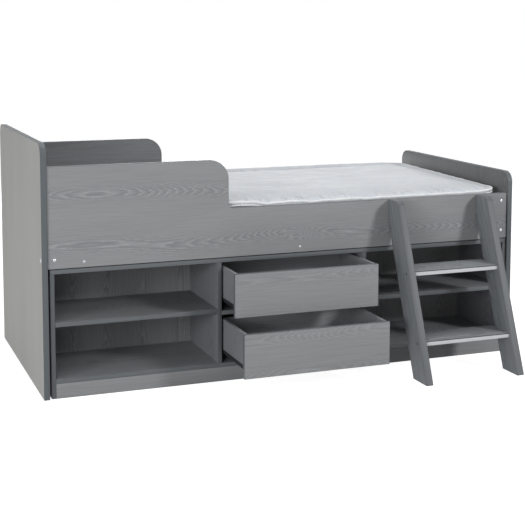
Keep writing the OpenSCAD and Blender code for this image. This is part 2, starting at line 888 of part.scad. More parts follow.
module drawer_front(bay_z, open) {
    difference() {
        board([drawer_bay_x + front_side_gap, front_y(open), bay_z + front_bottom_gap],
            [drawer_bay_w - 2 * front_side_gap, drawer_front_t, drawer_front_h]);
        left_side_board(bay_z, open, groove_gap);
        other_side() left_side_board(bay_z, open, groove_gap);
        base_board(bay_z, open, groove_gap);
    }
}

// Places of the screws that hold a drawer rail, under the drawer's side
module drawer_rail_screw_holes(bay_z, open) {
    for (y = rail_screw_y)
        rod([drawer_bay_x + runner_gap + drawer_side_t / 2, sides_y(open) + y,
             side_edge_z(bay_z) - runner_sheet - 1], Z, small_screw_d + hole_gap,
            small_screw_length + hole_gap + 1);
}

module drawer_side(bay_z, open) {
    difference() {
        left_side_board(bay_z, open, 0);
        base_board(bay_z, open, groove_gap);
        back_board(bay_z, open, groove_gap);
        drawer_rail_screw_holes(bay_z, open);
    }
}

module drawer_back(bay_z, open) {
    difference() {
        back_board(bay_z, open, 0);
        base_board(bay_z, open, groove_gap);
    }
}

module drawer_rail_screws(bay_z, open) {
    for (y = rail_screw_y)
        screw([drawer_bay_x + runner_gap + drawer_side_t / 2, sides_y(open) + y,
               side_edge_z(bay_z) - runner_sheet - small_head_t], Z,
            small_screw_length + small_head_t, small_screw_d, small_head_d, small_head_t);
}

module drawer_screws(bay_z, open) {
    drawer_rail_screws(bay_z, open);
    other_side() drawer_rail_screws(bay_z, open);
}

// Runners, drawn for the left side of the bay

// The cabinet's rail: a channel with a lip over it and the front roller's pin
module cabinet_rail(rail_z) {
    translate([drawer_bay_x, cabinet_rail_y, rail_z - runner_sheet]) difference() {
        union() {
            cube([runner_sheet, cabinet_rail_length, cabinet_lip_z + 2 * runner_sheet]);
            cube([cabinet_flange_w, cabinet_rail_length, runner_sheet]);
            translate([0, 0, cabinet_lip_z + runner_sheet])
                cube([cabinet_flange_w, cabinet_rail_length, runner_sheet]);
            rod([0, front_roller_y - cabinet_rail_y, runner_sheet + front_roller_z], X, roller_pin_d,
                cabinet_flange_w);
        }
        for (y = rail_screw_y)
            rod([-1, y, runner_sheet + roller_d / 2], X, small_screw_d + hole_gap, runner_sheet + 2);
    }
}

function rear_roller_y(open) = sides_y(open) + drawer_side_length - rear_roller_inset;

// The drawer's rail: an angle under the drawer's side, with a flange over the front roller
module drawer_rail(bay_z, open) {
    y0 = sides_y(open) + rail_end_gap;
    length = drawer_side_length - 2 * rail_end_gap;
    edge_z = side_edge_z(bay_z);
    difference() {
        union() {
            board([drawer_bay_x + rail_web_x, y0, edge_z - runner_sheet],
                [runner_sheet, length, drawer_flange_z + 2 * runner_sheet]);
            board([drawer_bay_x + rail_web_x, y0, edge_z - runner_sheet],
                [runner_sheet + drawer_flange_w, length, runner_sheet]);
            board([drawer_bay_x + runner_sheet + runner_play, y0, edge_z + drawer_flange_z],
                [runner_gap - runner_sheet - runner_play, length, runner_sheet]);
            rod([drawer_bay_x + runner_gap, rear_roller_y(open), edge_z + rear_roller_z], X,
                roller_pin_d, -cabinet_flange_w);
        }
        drawer_rail_screw_holes(bay_z, open);
    }
}

module roller(y, z) {
    bore = roller_pin_d + 2 * roller_bore_gap;
    difference() {
        rod([drawer_bay_x + roller_x, y, z], X, roller_d, roller_w);
        rod([drawer_bay_x + roller_x - 1, y, z], X, bore, roller_w + 2);
    }
}

module front_roller(bay_z) {
    roller(front_roller_y, side_edge_z(bay_z) + front_roller_z);
}

module rear_roller(bay_z, open) {
    roller(rear_roller_y(open), side_edge_z(bay_z) + rear_roller_z);
}

// The two drawers, each piece under its own name

module upper_drawer_front() {
    color(panel_grey) placed() drawer_front(upper_floor_z, upper_open);
}

module upper_drawer_left_side() {
    color(cabinet_grey) placed() drawer_side(upper_floor_z, upper_open);
}

module upper_drawer_right_side() {
    color(cabinet_grey) placed() other_side() drawer_side(upper_floor_z, upper_open);
}

module upper_drawer_back() {
    color(cabinet_grey) placed() drawer_back(upper_floor_z, upper_open);
}

module upper_drawer_base() {
    color(edge_grey) placed() base_board(upper_floor_z, upper_open, 0);
}

module upper_drawer_screws() {
    color(zinc) placed() drawer_screws(upper_floor_z, upper_open);
}

module lower_drawer_front() {
    color(panel_grey) placed() drawer_front(lower_floor_z, lower_open);
}

module lower_drawer_left_side() {
    color(cabinet_grey) placed() drawer_side(lower_floor_z, lower_open);
}

module lower_drawer_right_side() {
    color(cabinet_grey) placed() other_side() drawer_side(lower_floor_z, lower_open);
}

module lower_drawer_back() {
    color(cabinet_grey) placed() drawer_back(lower_floor_z, lower_open);
}

module lower_drawer_base() {
    color(edge_grey) placed() base_board(lower_floor_z, lower_open, 0);
}

module lower_drawer_screws() {
    color(zinc) placed() drawer_screws(lower_floor_z, lower_open);
}

module upper_left_cabinet_rail() {
    color(runner_black) placed() cabinet_rail(upper_rail_z);
}

module upper_right_cabinet_rail() {
    color(runner_black) placed() other_side() cabinet_rail(upper_rail_z);
}

module lower_left_cabinet_rail() {
    color(runner_black) placed() cabinet_rail(lower_rail_z);
}

module lower_right_cabinet_rail() {
    color(runner_black) placed() other_side() cabinet_rail(lower_rail_z);
}

module upper_left_drawer_rail() {
    color(runner_black) placed() drawer_rail(upper_floor_z, upper_open);
}

module upper_right_drawer_rail() {
    color(runner_black) placed() other_side() drawer_rail(upper_floor_z, upper_open);
}

module lower_left_drawer_rail() {
    color(runner_black) placed() drawer_rail(lower_floor_z, lower_open);
}

module lower_right_drawer_rail() {
    color(runner_black) placed() other_side() drawer_rail(lower_floor_z, lower_open);
}

module upper_left_front_roller() {
    color(roller_white) placed() front_roller(upper_floor_z);
}

module upper_right_front_roller() {
    color(roller_white) placed() other_side() front_roller(upper_floor_z);
}

module upper_left_rear_roller() {
    color(roller_white) placed() rear_roller(upper_floor_z, upper_open);
}

module upper_right_rear_roller() {
    color(roller_white) placed() other_side() rear_roller(upper_floor_z, upper_open);
}

module lower_left_front_roller() {
    color(roller_white) placed() front_roller(lower_floor_z);
}

module lower_right_front_roller() {
    color(roller_white) placed() other_side() front_roller(lower_floor_z);
}

module lower_left_rear_roller() {
    color(roller_white) placed() rear_roller(lower_floor_z, lower_open);
}

module lower_right_rear_roller() {
    color(roller_white) placed() other_side() rear_roller(lower_floor_z, lower_open);
}

// Ladder

// How far back a stile's front edge lies at the height z
function stile_front_y(z) = -ladder_reach + stile_slope * z;

// Side view of a stile: it leans against the panel along a flat, and its top front corner is round
module stile_outline() {
    back_foot = -ladder_reach + stile_foot_depth;
    flat_z = (side_setback - back_foot) / stile_slope;
    cut = stile_corner_r * tan((90 - stile_lean) / 2);
    centre = [side_setback - stile_top_depth + cut, stile_top_z - stile_corner_r];
    corner = [for (i = [0 : 8])
        let (a = 90 + (90 - stile_lean) * i / 8)
        centre + stile_corner_r * [cos(a), sin(a)]];
    polygon(concat([[side_setback, flat_z], [side_setback, stile_top_z]], corner,
        [[-ladder_reach, 0], [back_foot, 0]]));
}

function tread_y(z) = stile_front_y(z) + tread_setback;

module tread_board(top_z, margin) {
    m = margin;
    x = ladder_x + stile_t - tread_housing;
    board([x - m, tread_y(top_z) - m, top_z - tread_t - m],
        [ladder_w - 2 * (stile_t - tread_housing) + 2 * m, tread_depth + 2 * m, tread_t + 2 * m]);
}

// Places of the tread screws on the left stile's outer face
function tread_screw_places() =
    [for (z = [first_rise, upper_tread_z]) [ladder_x, tread_y(z) + tread_screw_inset, z - tread_t / 2]];

module left_tread_screw_holes() {
    for (p = tread_screw_places()) wood_screw_hole(p, X, tread_screw_length);
}

module left_tread_screws() {
    for (p = tread_screw_places()) wood_screw(p, X, tread_screw_length);
}

// The same at the ladder's right side
module other_stile() {
    translate([2 * ladder_x + ladder_w, 0, 0]) mirror(X) children();
}

module left_ladder_bolts() {
    for (z = ladder_bolt_z) {
        p = [ladder_x + stile_t / 2, panel_back_y, z];
        rod(p, Y, bolt_head_d, bolt_head_t);
        rod(p, Y, bolt_d, -ladder_bolt_length);
    }
}

module ladder_bolts() {
    color(zinc) placed() {
        left_ladder_bolts();
        other_stile() left_ladder_bolts();
    }
}

module left_ladder_bolt_holes() {
    for (z = ladder_bolt_z)
        rod([ladder_x + stile_t / 2, panel_back_y + 1, z], Y, bolt_d + hole_gap,
            -(ladder_bolt_length + hole_gap + 1));
}

module ladder_bolt_holes() {
    left_ladder_bolt_holes();
    other_stile() left_ladder_bolt_holes();
}

module plain_stile() {
    difference() {
        translate([ladder_x, 0, 0]) rotate([90, 0, 90]) linear_extrude(stile_t) stile_outline();
        tread_board(first_rise, groove_gap);
        tread_board(upper_tread_z, groove_gap);
        left_tread_screw_holes();
        left_ladder_bolt_holes();
    }
}

module ladder_left_stile() {
    color(edge_grey) placed() plain_stile();
}

module ladder_right_stile() {
    color(edge_grey) placed() other_stile() plain_stile();
}

module plain_tread(top_z) {
    difference() {
        tread_board(top_z, 0);
        left_tread_screw_holes();
        other_stile() left_tread_screw_holes();
    }
}

module upper_tread() {
    color(edge_grey) placed() plain_tread(upper_tread_z);
}

module lower_tread() {
    color(edge_grey) placed() plain_tread(first_rise);
}

module tread_screws() {
    color(zinc) placed() {
        left_tread_screws();
        other_stile() left_tread_screws();
    }
}

headboard();
footboard();
front_side_panel();
rear_side_panel();
front_slat_rail();
rear_slat_rail();
bed_slats();
mattress();
cabinet_top();
cabinet_bottom();
cabinet_left_side();
cabinet_right_side();
left_divider();
right_divider();
left_shelf();
right_shelf();
drawer_shelf();
front_plinth();
rear_plinth();
cabinet_back();
upper_drawer_front();
upper_drawer_left_side();
upper_drawer_right_side();
upper_drawer_back();
upper_drawer_base();
lower_drawer_front();
lower_drawer_left_side();
lower_drawer_right_side();
lower_drawer_back();
lower_drawer_base();
upper_left_cabinet_rail();
upper_right_cabinet_rail();
lower_left_cabinet_rail();
lower_right_cabinet_rail();
upper_left_drawer_rail();
upper_right_drawer_rail();
lower_left_drawer_rail();
lower_right_drawer_rail();
upper_left_front_roller();
upper_right_front_roller();
upper_left_rear_roller();
upper_right_rear_roller();
lower_left_front_roller();
lower_right_front_roller();
lower_left_rear_roller();
lower_right_rear_roller();
ladder_left_stile();
ladder_right_stile();
upper_tread();
lower_tread();
bed_bolts();
barrel_nuts();
base_screws();
ladder_bolts();
tread_screws();
shelf_pins();
wooden_dowels();
cabinet_screws();
upper_drawer_screws();
lower_drawer_screws();
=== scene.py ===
"""The mid sleeper bed, dressed: foiled boards, slats, mattress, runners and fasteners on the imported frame.

Lengths are metres in the shared frame, where +X runs from the headboard to the footboard, +Y from the ladder to
the back and +Z up. A name that ends in _mm holds millimetres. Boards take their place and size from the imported
solids, so what is written here is only what those don't say: rounded rims, finishes, stitching and light.
"""
import logging
import math
from collections.abc import Mapping, Sequence
from dataclasses import dataclass
from enum import Enum

import bpy
import numpy as np
from mathutils import Euler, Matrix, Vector


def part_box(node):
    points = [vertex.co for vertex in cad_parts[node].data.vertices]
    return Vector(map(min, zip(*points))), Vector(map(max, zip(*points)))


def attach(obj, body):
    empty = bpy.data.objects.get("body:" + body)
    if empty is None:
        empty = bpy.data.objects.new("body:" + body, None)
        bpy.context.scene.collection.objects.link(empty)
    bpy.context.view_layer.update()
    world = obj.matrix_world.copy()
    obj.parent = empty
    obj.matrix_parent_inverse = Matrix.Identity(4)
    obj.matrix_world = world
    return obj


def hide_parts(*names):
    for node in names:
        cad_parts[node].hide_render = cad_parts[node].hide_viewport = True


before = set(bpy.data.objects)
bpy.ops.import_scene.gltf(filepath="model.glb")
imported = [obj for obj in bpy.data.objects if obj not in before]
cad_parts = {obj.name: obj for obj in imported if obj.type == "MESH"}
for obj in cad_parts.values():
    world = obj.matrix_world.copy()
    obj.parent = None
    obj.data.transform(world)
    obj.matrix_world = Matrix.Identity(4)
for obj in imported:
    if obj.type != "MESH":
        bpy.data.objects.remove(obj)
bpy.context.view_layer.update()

LOG = logging.getLogger("bed")
MM = 0.001
SHARP = math.radians(40)

# Where a turned head sits: its point on the face, the number of the axis that it stands along, and its way on it
Place = tuple[tuple[float, float, float], int, float]


# Colours and shader nodes

def linear(colour: str) -> tuple[float, float, float, float]:
    """Turns an sRGB hex colour into linear light.

    Args:
        colour: Colour such as "#8a8b8d".

    Returns:
        Red, green, blue and an alpha of 1.
    """
    values = np.array([int(colour[i:i + 2], 16) for i in (1, 3, 5)]) / 255
    light = np.where(values <= 0.04045, values / 12.92, ((values + 0.055) / 1.055) ** 2.4)
    return (*light.tolist(), 1.0)


def add_node(tree: bpy.types.NodeTree, kind: str, inputs: Mapping[str | int, object] | None = None,
             **settings: object) -> bpy.types.Node:
    """Adds one shader node with its settings and links.

    Args:
        tree: Node tree that it goes into.
        kind: Node type without the leading "ShaderNode".
        inputs: A value or another node's output for each input, by name or number.
        **settings: Properties of the node.

    Returns:
        The new node.
    """
    made = tree.nodes.new("ShaderNode" + kind)
    for name, value in settings.items():
        setattr(made, name, value)
    for key, value in (inputs or {}).items():
        if isinstance(value, bpy.types.NodeSocket):
            tree.links.new(value, made.inputs[key])
        else:
            made.inputs[key].default_value = value
    return made


def new_material(name: str) -> tuple[bpy.types.Material, bpy.types.NodeTree]:
    """Makes an empty node material.

    Args:
        name: What the real material is.

    Returns:
        The material and its tree.
    """
    material = bpy.data.materials.new(name)
    material.use_nodes = True
    material.node_tree.nodes.clear()
    return material, material.node_tree


# Finishes

class Grain(Enum):
    """Ways a board's grain runs, as the turn in degrees that lays it along X."""

    LENGTHWISE = (0.0, 0.0, 0.0)
    UPRIGHT = (0.0, 90.0, 0.0)
    DEPTHWISE = (0.0, 0.0, 90.0)
    UP_THE_LADDER = (21.3, 90.0, 0.0)

    def turn(self) -> tuple[float, float, float]:
        """Gives the turn in radians."""
        return tuple(math.radians(angle) for angle in self.value)


@dataclass(frozen=True)
class WoodFoil:
    """Melamine foil printed with an ash grain, on chipboard: a dead matt print with a faint pressed texture.

    The growth rings are the contour lines of a height. It swings slowly along the grain and rises with the square of
    the distance from the nearest flame axis, which draws the nested arrowheads of a flat-sawn board and, where it
    turns, a closed eye. Between the axes only straight fibres show. Knots lift the height at chosen places.

    The ground colour lies between the darker late wood and the paler bloom. The axes lie flame_pitch_mm apart, one
    of them at flame_axis_mm, and rings show up to flame_reach_mm from one. The height swings by as many rings as the
    field rings says within swing_mm, and rises by flame_bow times the distance's square in millimetres. The seed
    and slide_mm move the pattern, so that no two kinds of board repeat each other.
    """

    name: str
    ground: str
    late_wood: str
    bloom: str
    grain: Grain
    swing_mm: float = 900.0
    rings: float = 60.0
    flame_axis_mm: float = 0.0
    flame_pitch_mm: float = 206.0
    flame_bow: float = 0.0032
    flame_reach_mm: float = 62.0
    fray: float = 1.3
    wander_mm: float = 50.0
    contrast: float = 1.0
    roughness: float = 0.62
    streaky: float = 1.0
    seed: float = 0.0
    slide_mm: float = 0.0
    knots_mm: tuple[tuple[float, float, float], ...] = ()
    knot_squeeze: tuple[float, float, float] = (13.0, 20.0, 42.0)
    knot_rings: float = 5.0

    def build(self) -> bpy.types.Material:
        """Makes the material.

        Returns:
            The material, with its own node tree.
        """
        material, tree = new_material(self.name)
        place = add_node(tree, "TexCoord")
        along = add_node(tree, "Mapping", {0: place.outputs["Object"], "Rotation": self.grain.turn(),
                                           "Location": (self.seed + self.slide_mm * MM, self.seed * 0.7,
                                                        self.seed * 1.3)})
        # The print's fibres are about 0.4 mm wide; they are drawn 5 mm wide and 180 mm long so that they show
        fibre = self._streaks(tree, along, 180, 5, 4.0)
        # Pores are drawn 1.6 mm wide and 30 mm long
        pores = self._streaks(tree, along, 30, 1.6, 1.0)
        cloud = self._streaks(tree, along, 900, 240, 2.0)
        phase, near = self._rings(tree, place, along)
        # A ring darkens slowly into its late wood and ends sharply; the next one begins with a pale bloom
        rise = add_node(tree, "MapRange", {0: phase, 1: 0.3, 2: 0.84}, interpolation_type="SMOOTHSTEP")
        fall = add_node(tree, "MapRange", {0: phase, 1: 0.84, 2: 0.95, 3: 1.0, 4: 0.0})
        late = add_node(tree, "Math", {0: rise.outputs[0], 1: fall.outputs[0]}, operation="MULTIPLY")
        late_near = add_node(tree, "Math", {0: late.outputs[0], 1: near}, operation="MULTIPLY")
        early = add_node(tree, "MapRange", {0: phase, 1: 0.0, 2: 0.26, 3: 1.0, 4: 0.0},
                         interpolation_type="SMOOTHSTEP")
        early_near = add_node(tree, "Math", {0: early.outputs[0], 1: near}, operation="MULTIPLY")
        # The fibres carry pale streaks where their noise is high and dark ones where it is low
        streak = add_node(tree, "MapRange", {0: fibre, 1: 0.45, 2: 0.8, 3: 0.0, 4: 0.4 * self.streaky})
        shadow = add_node(tree, "MapRange", {0: fibre, 1: 0.48, 2: 0.24, 3: 0.0, 4: 0.55 * self.streaky})
        pore = add_node(tree, "MapRange", {0: pores, 1: 0.6, 2: 0.78, 3: 0.0, 4: 0.4})
        print_colour = linear(self.ground)
        for amount, colour in ((late_near, self.late_wood), (early_near, self.bloom), (streak, self.bloom),
                               (shadow, self.late_wood), (pore, self.late_wood)):
            print_colour = add_node(tree, "Mix", {0: amount.outputs[0], 6: print_colour, 7: linear(colour)},
                                    data_type="RGBA").outputs[2]
        tone = add_node(tree, "MapRange", {0: cloud, 1: 0.3, 2: 0.7, 3: 0.955, 4: 1.045})
        toned = add_node(tree, "HueSaturation", {"Color": print_colour, "Value": tone.outputs[0]})
        # The press plate sinks the late wood and lifts the fibres by about a tenth of a millimetre
        relief = add_node(tree, "Math", {0: late_near.outputs[0], 1: -0.6, 2: fibre}, operation="MULTIPLY_ADD")
        pressed = add_node(tree, "Bump", {"Height": relief.outputs[0], "Distance": 0.12 * MM, "Strength": 0.5})
        gloss = add_node(tree, "MapRange", {0: fibre, 1: 0.3, 2: 0.7, 3: self.roughness - 0.05,
                                            4: self.roughness + 0.06})
        shade = add_node(tree, "BsdfPrincipled", {"Base Color": toned.outputs[0], "Roughness": gloss.outputs[0],
                                                  "IOR": 1.5, "Specular IOR Level": 0.35,
                                                  "Normal": pressed.outputs[0]})
        add_node(tree, "OutputMaterial", {0: shade.outputs[0]})
        return material

    @staticmethod
    def _streaks(tree: bpy.types.NodeTree, along: bpy.types.Node, length_mm: float, width_mm: float,
                 detail: float, own: bpy.types.NodeSocket | float = 0.0) -> bpy.types.NodeSocket:
        """Gives a noise whose patches are stretched along the grain.

        Args:
            tree: Tree of the material.
            along: Coordinates with X along the grain.
            length_mm: Length of a patch along the grain.
            width_mm: Width of a patch across it.
            detail: Finer layers of the noise.
            own: Fourth coordinate, where a place needs a pattern of its own.

        Returns:
            The noise, from 0 to 1.
        """
        scaled = add_node(tree, "Mapping", {0: along.outputs[0],
                                            "Scale": (1000 / length_mm, 1000 / width_mm, 1000 / width_mm)})
        return add_node(tree, "TexNoise", {"Vector": scaled.outputs[0], "W": own, "Scale": 1.0, "Detail": detail,
                                           "Roughness": 0.6}, noise_dimensions="4D").outputs[0]

    def _rings(self, tree: bpy.types.NodeTree, place: bpy.types.Node,
               along: bpy.types.Node) -> tuple[bpy.types.NodeSocket, bpy.types.NodeSocket]:
        """Makes the growth rings.

        Args:
            tree: Tree of the material.
            place: Texture coordinates.
            along: Coordinates with X along the grain.

        Returns:
            The place within a ring, from 0 to 1, and how clearly the ring shows.
        """
        split = add_node(tree, "SeparateXYZ", {0: along.outputs[0]})
        across = add_node(tree, "Math", {0: split.outputs[1], 1: split.outputs[2]}, operation="ADD")
        wander = self._streaks(tree, along, 420, 900, 1.0)
        bent = add_node(tree, "Math", {0: wander, 1: self.wander_mm * MM, 2: across.outputs[0]},
                        operation="MULTIPLY_ADD")
        # Half of the wander is its mean, which comes off again
        offset = add_node(tree, "Math", {0: bent.outputs[0], 1: (self.flame_axis_mm + self.wander_mm / 2) * MM},
                          operation="SUBTRACT")
        distance = add_node(tree, "Math", {0: offset.outputs[0], 1: self.flame_pitch_mm / 2 * MM},
                            operation="PINGPONG")
        bow = add_node(tree, "Math", {0: distance.outputs[0], 1: distance.outputs[0]}, operation="MULTIPLY")
        # Each flame axis swings in its own way: the axis's number is the noise's fourth coordinate
        turns = add_node(tree, "Math", {0: offset.outputs[0], 1: 1000 / self.flame_pitch_mm}, operation="MULTIPLY")
        number = add_node(tree, "Math", {0: turns.outputs[0]}, operation="ROUND")
        own = add_node(tree, "Math", {0: number.outputs[0], 1: 3.7}, operation="MULTIPLY")
        swing = self._streaks(tree, along, self.swing_mm, 420, 0.0, own.outputs[0])
        # The fibres fray the rings, which gives the arrowheads their jagged tips
        fray = self._streaks(tree, along, 70, 5, 2.0)
        frayed = add_node(tree, "Math", {0: fray, 1: self.fray}, operation="MULTIPLY")
        slow = add_node(tree, "Math", {0: swing, 1: self.rings, 2: frayed.outputs[0]}, operation="MULTIPLY_ADD")
        height = add_node(tree, "Math", {0: bow.outputs[0], 1: self.flame_bow / MM ** 2, 2: slow.outputs[0]},
                          operation="MULTIPLY_ADD").outputs[0]
        for knot in self.knots_mm:
            height = self._knot(tree, place, height, knot)
        phase = add_node(tree, "Math", {0: height}, operation="FRACT").outputs[0]
        near = add_node(tree, "MapRange", {0: distance.outputs[0], 1: 12 * MM, 2: self.flame_reach_mm * MM,
                                           3: self.contrast, 4: 0.0}, interpolation_type="SMOOTHSTEP")
        return phase, near.outputs[0]

    def _knot(self, tree: bpy.types.NodeTree, place: bpy.types.Node, height: bpy.types.NodeSocket,
              knot: tuple[float, float, float]) -> bpy.types.NodeSocket:
        """Lifts the height round one knot, so that the rings flow round it.

        Args:
            tree: Tree of the material.
            place: Texture coordinates.
            height: The height so far, in rings.
            knot: Its x, y and z, in millimetres of the shared frame.

        Returns:
            The height with the knot.
        """
        centre = tuple(value * MM for value in knot)
        moved = add_node(tree, "VectorMath", {0: place.outputs["Object"], 1: centre}, operation="SUBTRACT")
        squeezed = add_node(tree, "VectorMath", {0: moved.outputs[0], 1: self.knot_squeeze}, operation="MULTIPLY")
        distance = add_node(tree, "VectorMath", {0: squeezed.outputs[0]}, operation="LENGTH")
        lift = add_node(tree, "MapRange", {0: distance.outputs["Value"], 1: 0.0, 2: 1.2, 3: self.knot_rings, 4: 0.0},
                        interpolation_type="SMOOTHSTEP")
        return add_node(tree, "Math", {0: height, 1: lift.outputs[0]}, operation="ADD").outputs[0]


@dataclass(frozen=True)
class EdgeBand:
    """ABS edge banding: an extruded 1 mm plastic strip, plain grey with faint drawn streaks and a soft satin shine.

    A tread's nosing has a dark line of shade_line_mm painted under the tread's top, as painted shade under the
    tread's edge. The lower tread's top lies at top_mm, and the next one rise_mm higher.
    """

    name: str
    ground: str
    streak: str
    grain: Grain
    roughness: float = 0.5
    # Painted shade: height and colour of the dark line along the top of the nosing
    shade_line_mm: float = 0.0
    joint: str = "#3c3f42"
    top_mm: float = 155.0
    rise_mm: float = 254.0

    def build(self) -> bpy.types.Material:
        """Makes the material.

        Returns:
            The material, with its own node tree.
        """
        material, tree = new_material(self.name)
        place = add_node(tree, "TexCoord")
        along = add_node(tree, "Mapping", {0: place.outputs["Object"], "Rotation": self.grain.turn()})
        # Streaks of the extrusion, drawn 3 mm wide and 400 mm long
        drawn = add_node(tree, "Mapping", {0: along.outputs[0], "Scale": (2.5, 333.0, 333.0)})
        lines = add_node(tree, "TexNoise", {"Vector": drawn.outputs[0], "Scale": 1.0, "Detail": 3.0,
                                            "Roughness": 0.6})
        amount = add_node(tree, "MapRange", {0: lines.outputs[0], 1: 0.35, 2: 0.72})
        colour = add_node(tree, "Mix", {0: amount.outputs[0], 6: linear(self.ground), 7: linear(self.streak)},
                          data_type="RGBA")
        if self.shade_line_mm:
            # Painted shade: a dark line along the top of each nosing, under the tread's top edge.
            # The height wraps round once per rise, so that one band of it marks that line on every tread
            split = add_node(tree, "SeparateXYZ", {0: place.outputs["Object"]})
            climb = add_node(tree, "Math", {0: split.outputs[2], 1: (self.top_mm - self.rise_mm) * MM,
                                            2: self.top_mm * MM}, operation="WRAP")
            joint = add_node(tree, "MapRange", {0: climb.outputs[0], 1: (self.top_mm - self.shade_line_mm) * MM,
                                                2: (self.top_mm - self.shade_line_mm + 1) * MM})
            colour = add_node(tree, "Mix", {0: joint.outputs[0], 6: colour.outputs[2], 7: linear(self.joint)},
                              data_type="RGBA")
        bump = add_node(tree, "Bump", {"Height": lines.outputs[0], "Distance": 0.05 * MM, "Strength": 0.4})
        shade = add_node(tree, "BsdfPrincipled", {"Base Color": colour.outputs[2], "Roughness": self.roughness,
                                                  "IOR": 1.52, "Specular IOR Level": 0.4,
                                                  "Normal": bump.outputs[0]})
        add_node(tree, "OutputMaterial", {0: shade.outputs[0]})
        return material


@dataclass(frozen=True)
class BareWood:
    """Planed, untreated wood: warm and pale, with darker rings and a soft, dry surface that has no shine."""

    name: str = "planed pine"
    grain: Grain = Grain.LENGTHWISE
    early_wood: str = "#dcc298"
    late_wood: str = "#bf9560"

    def build(self) -> bpy.types.Material:
        """Makes the material.

        Returns:
            The material, with its own node tree.
        """
        material, tree = new_material(self.name)
        place = add_node(tree, "TexCoord")
        along = add_node(tree, "Mapping", {0: place.outputs["Object"], "Rotation": self.grain.turn()})
        slow = add_node(tree, "Mapping", {0: along.outputs[0], "Scale": (1.3, 26.0, 26.0)})
        rings = add_node(tree, "TexNoise", {"Vector": slow.outputs[0], "Scale": 1.0, "Detail": 1.2,
                                            "Distortion": 0.3})
        # Growth rings are 2 to 4 mm apart in such pine; they are drawn about 8 mm apart so that they don't blur
        phase = add_node(tree, "Math", {0: rings.outputs[0], 1: 9.0}, operation="MULTIPLY")
        wave = add_node(tree, "Math", {0: phase.outputs[0]}, operation="FRACT")
        late = add_node(tree, "MapRange", {0: wave.outputs[0], 1: 0.45, 2: 0.95, 3: 0.0, 4: 0.7},
                        interpolation_type="SMOOTHSTEP")
        # Fibres, drawn 2.4 mm wide and 200 mm long; the real ones are finer than the render shows
        fine = add_node(tree, "Mapping", {0: along.outputs[0], "Scale": (5.0, 420.0, 420.0)})
        fibre = add_node(tree, "TexNoise", {"Vector": fine.outputs[0], "Scale": 1.0, "Detail": 3.0})
        wood = add_node(tree, "Mix", {0: late.outputs[0], 6: linear(self.early_wood), 7: linear(self.late_wood)},
                        data_type="RGBA")
        lift = add_node(tree, "MapRange", {0: fibre.outputs[0], 1: 0.2, 2: 0.8, 3: 0.86, 4: 1.1})
        toned = add_node(tree, "HueSaturation", {"Color": wood.outputs[2], "Value": lift.outputs[0]})
        bump = add_node(tree, "Bump", {"Height": fibre.outputs[0], "Distance": 0.15 * MM, "Strength": 0.5})
        shade = add_node(tree, "BsdfPrincipled", {"Base Color": toned.outputs[0], "Roughness": 0.7, "IOR": 1.5,
                                                  "Specular IOR Level": 0.3, "Normal": bump.outputs[0]})
        add_node(tree, "OutputMaterial", {0: shade.outputs[0]})
        return material


@dataclass(frozen=True)
class PlatedSteel:
    """Bright zinc plate on turned steel: bluish white metal, its gloss broken by the plating's fine crystals."""

    name: str = "zinc-plated steel"
    colour: str = "#d3d7da"
    roughness: float = 0.32
    shade: str = "#b9c0c6"

    def build(self) -> bpy.types.Material:
        """Makes the material.

        Returns:
            The material, with its own node tree.
        """
        material, tree = new_material(self.name)
        place = add_node(tree, "TexCoord")
        # The real crystals are finer than 0.1 mm; they are drawn 1 mm wide so that they break the gloss
        crystals = add_node(tree, "TexNoise", {"Vector": place.outputs["Object"], "Scale": 900.0, "Detail": 3.0})
        gloss = add_node(tree, "MapRange", {0: crystals.outputs[0], 1: 0.3, 2: 0.7, 3: self.roughness - 0.07,
                                            4: self.roughness + 0.12})
        tint = add_node(tree, "Mix", {0: crystals.outputs[0], 6: linear(self.colour), 7: linear(self.shade)},
                        data_type="RGBA")
        shade = add_node(tree, "BsdfPrincipled", {"Base Color": tint.outputs[2], "Metallic": 1.0,
                                                  "Roughness": gloss.outputs[0]})
        add_node(tree, "OutputMaterial", {0: shade.outputs[0]})
        return material


@dataclass(frozen=True)
class PowderCoat:
    """Powder-coated steel strip: satin coat with the fine orange peel that baking leaves."""

    name: str = "black powder coat"
    colour: str = "#1f2022"

    def build(self) -> bpy.types.Material:
        """Makes the material.

        Returns:
            The material, with its own node tree.
        """
        material, tree = new_material(self.name)
        place = add_node(tree, "TexCoord")
        # Waves of the orange peel, about 1.5 mm apart
        peel = add_node(tree, "TexNoise", {"Vector": place.outputs["Object"], "Scale": 650.0, "Detail": 2.0})
        bump = add_node(tree, "Bump", {"Height": peel.outputs[0], "Distance": 0.06 * MM, "Strength": 0.6})
        gloss = add_node(tree, "MapRange", {0: peel.outputs[0], 3: 0.34, 4: 0.5})
        shade = add_node(tree, "BsdfPrincipled", {"Base Color": linear(self.colour), "Roughness": gloss.outputs[0],
                                                  "IOR": 1.5, "Normal": bump.outputs[0]})
        add_node(tree, "OutputMaterial", {0: shade.outputs[0]})
        return material


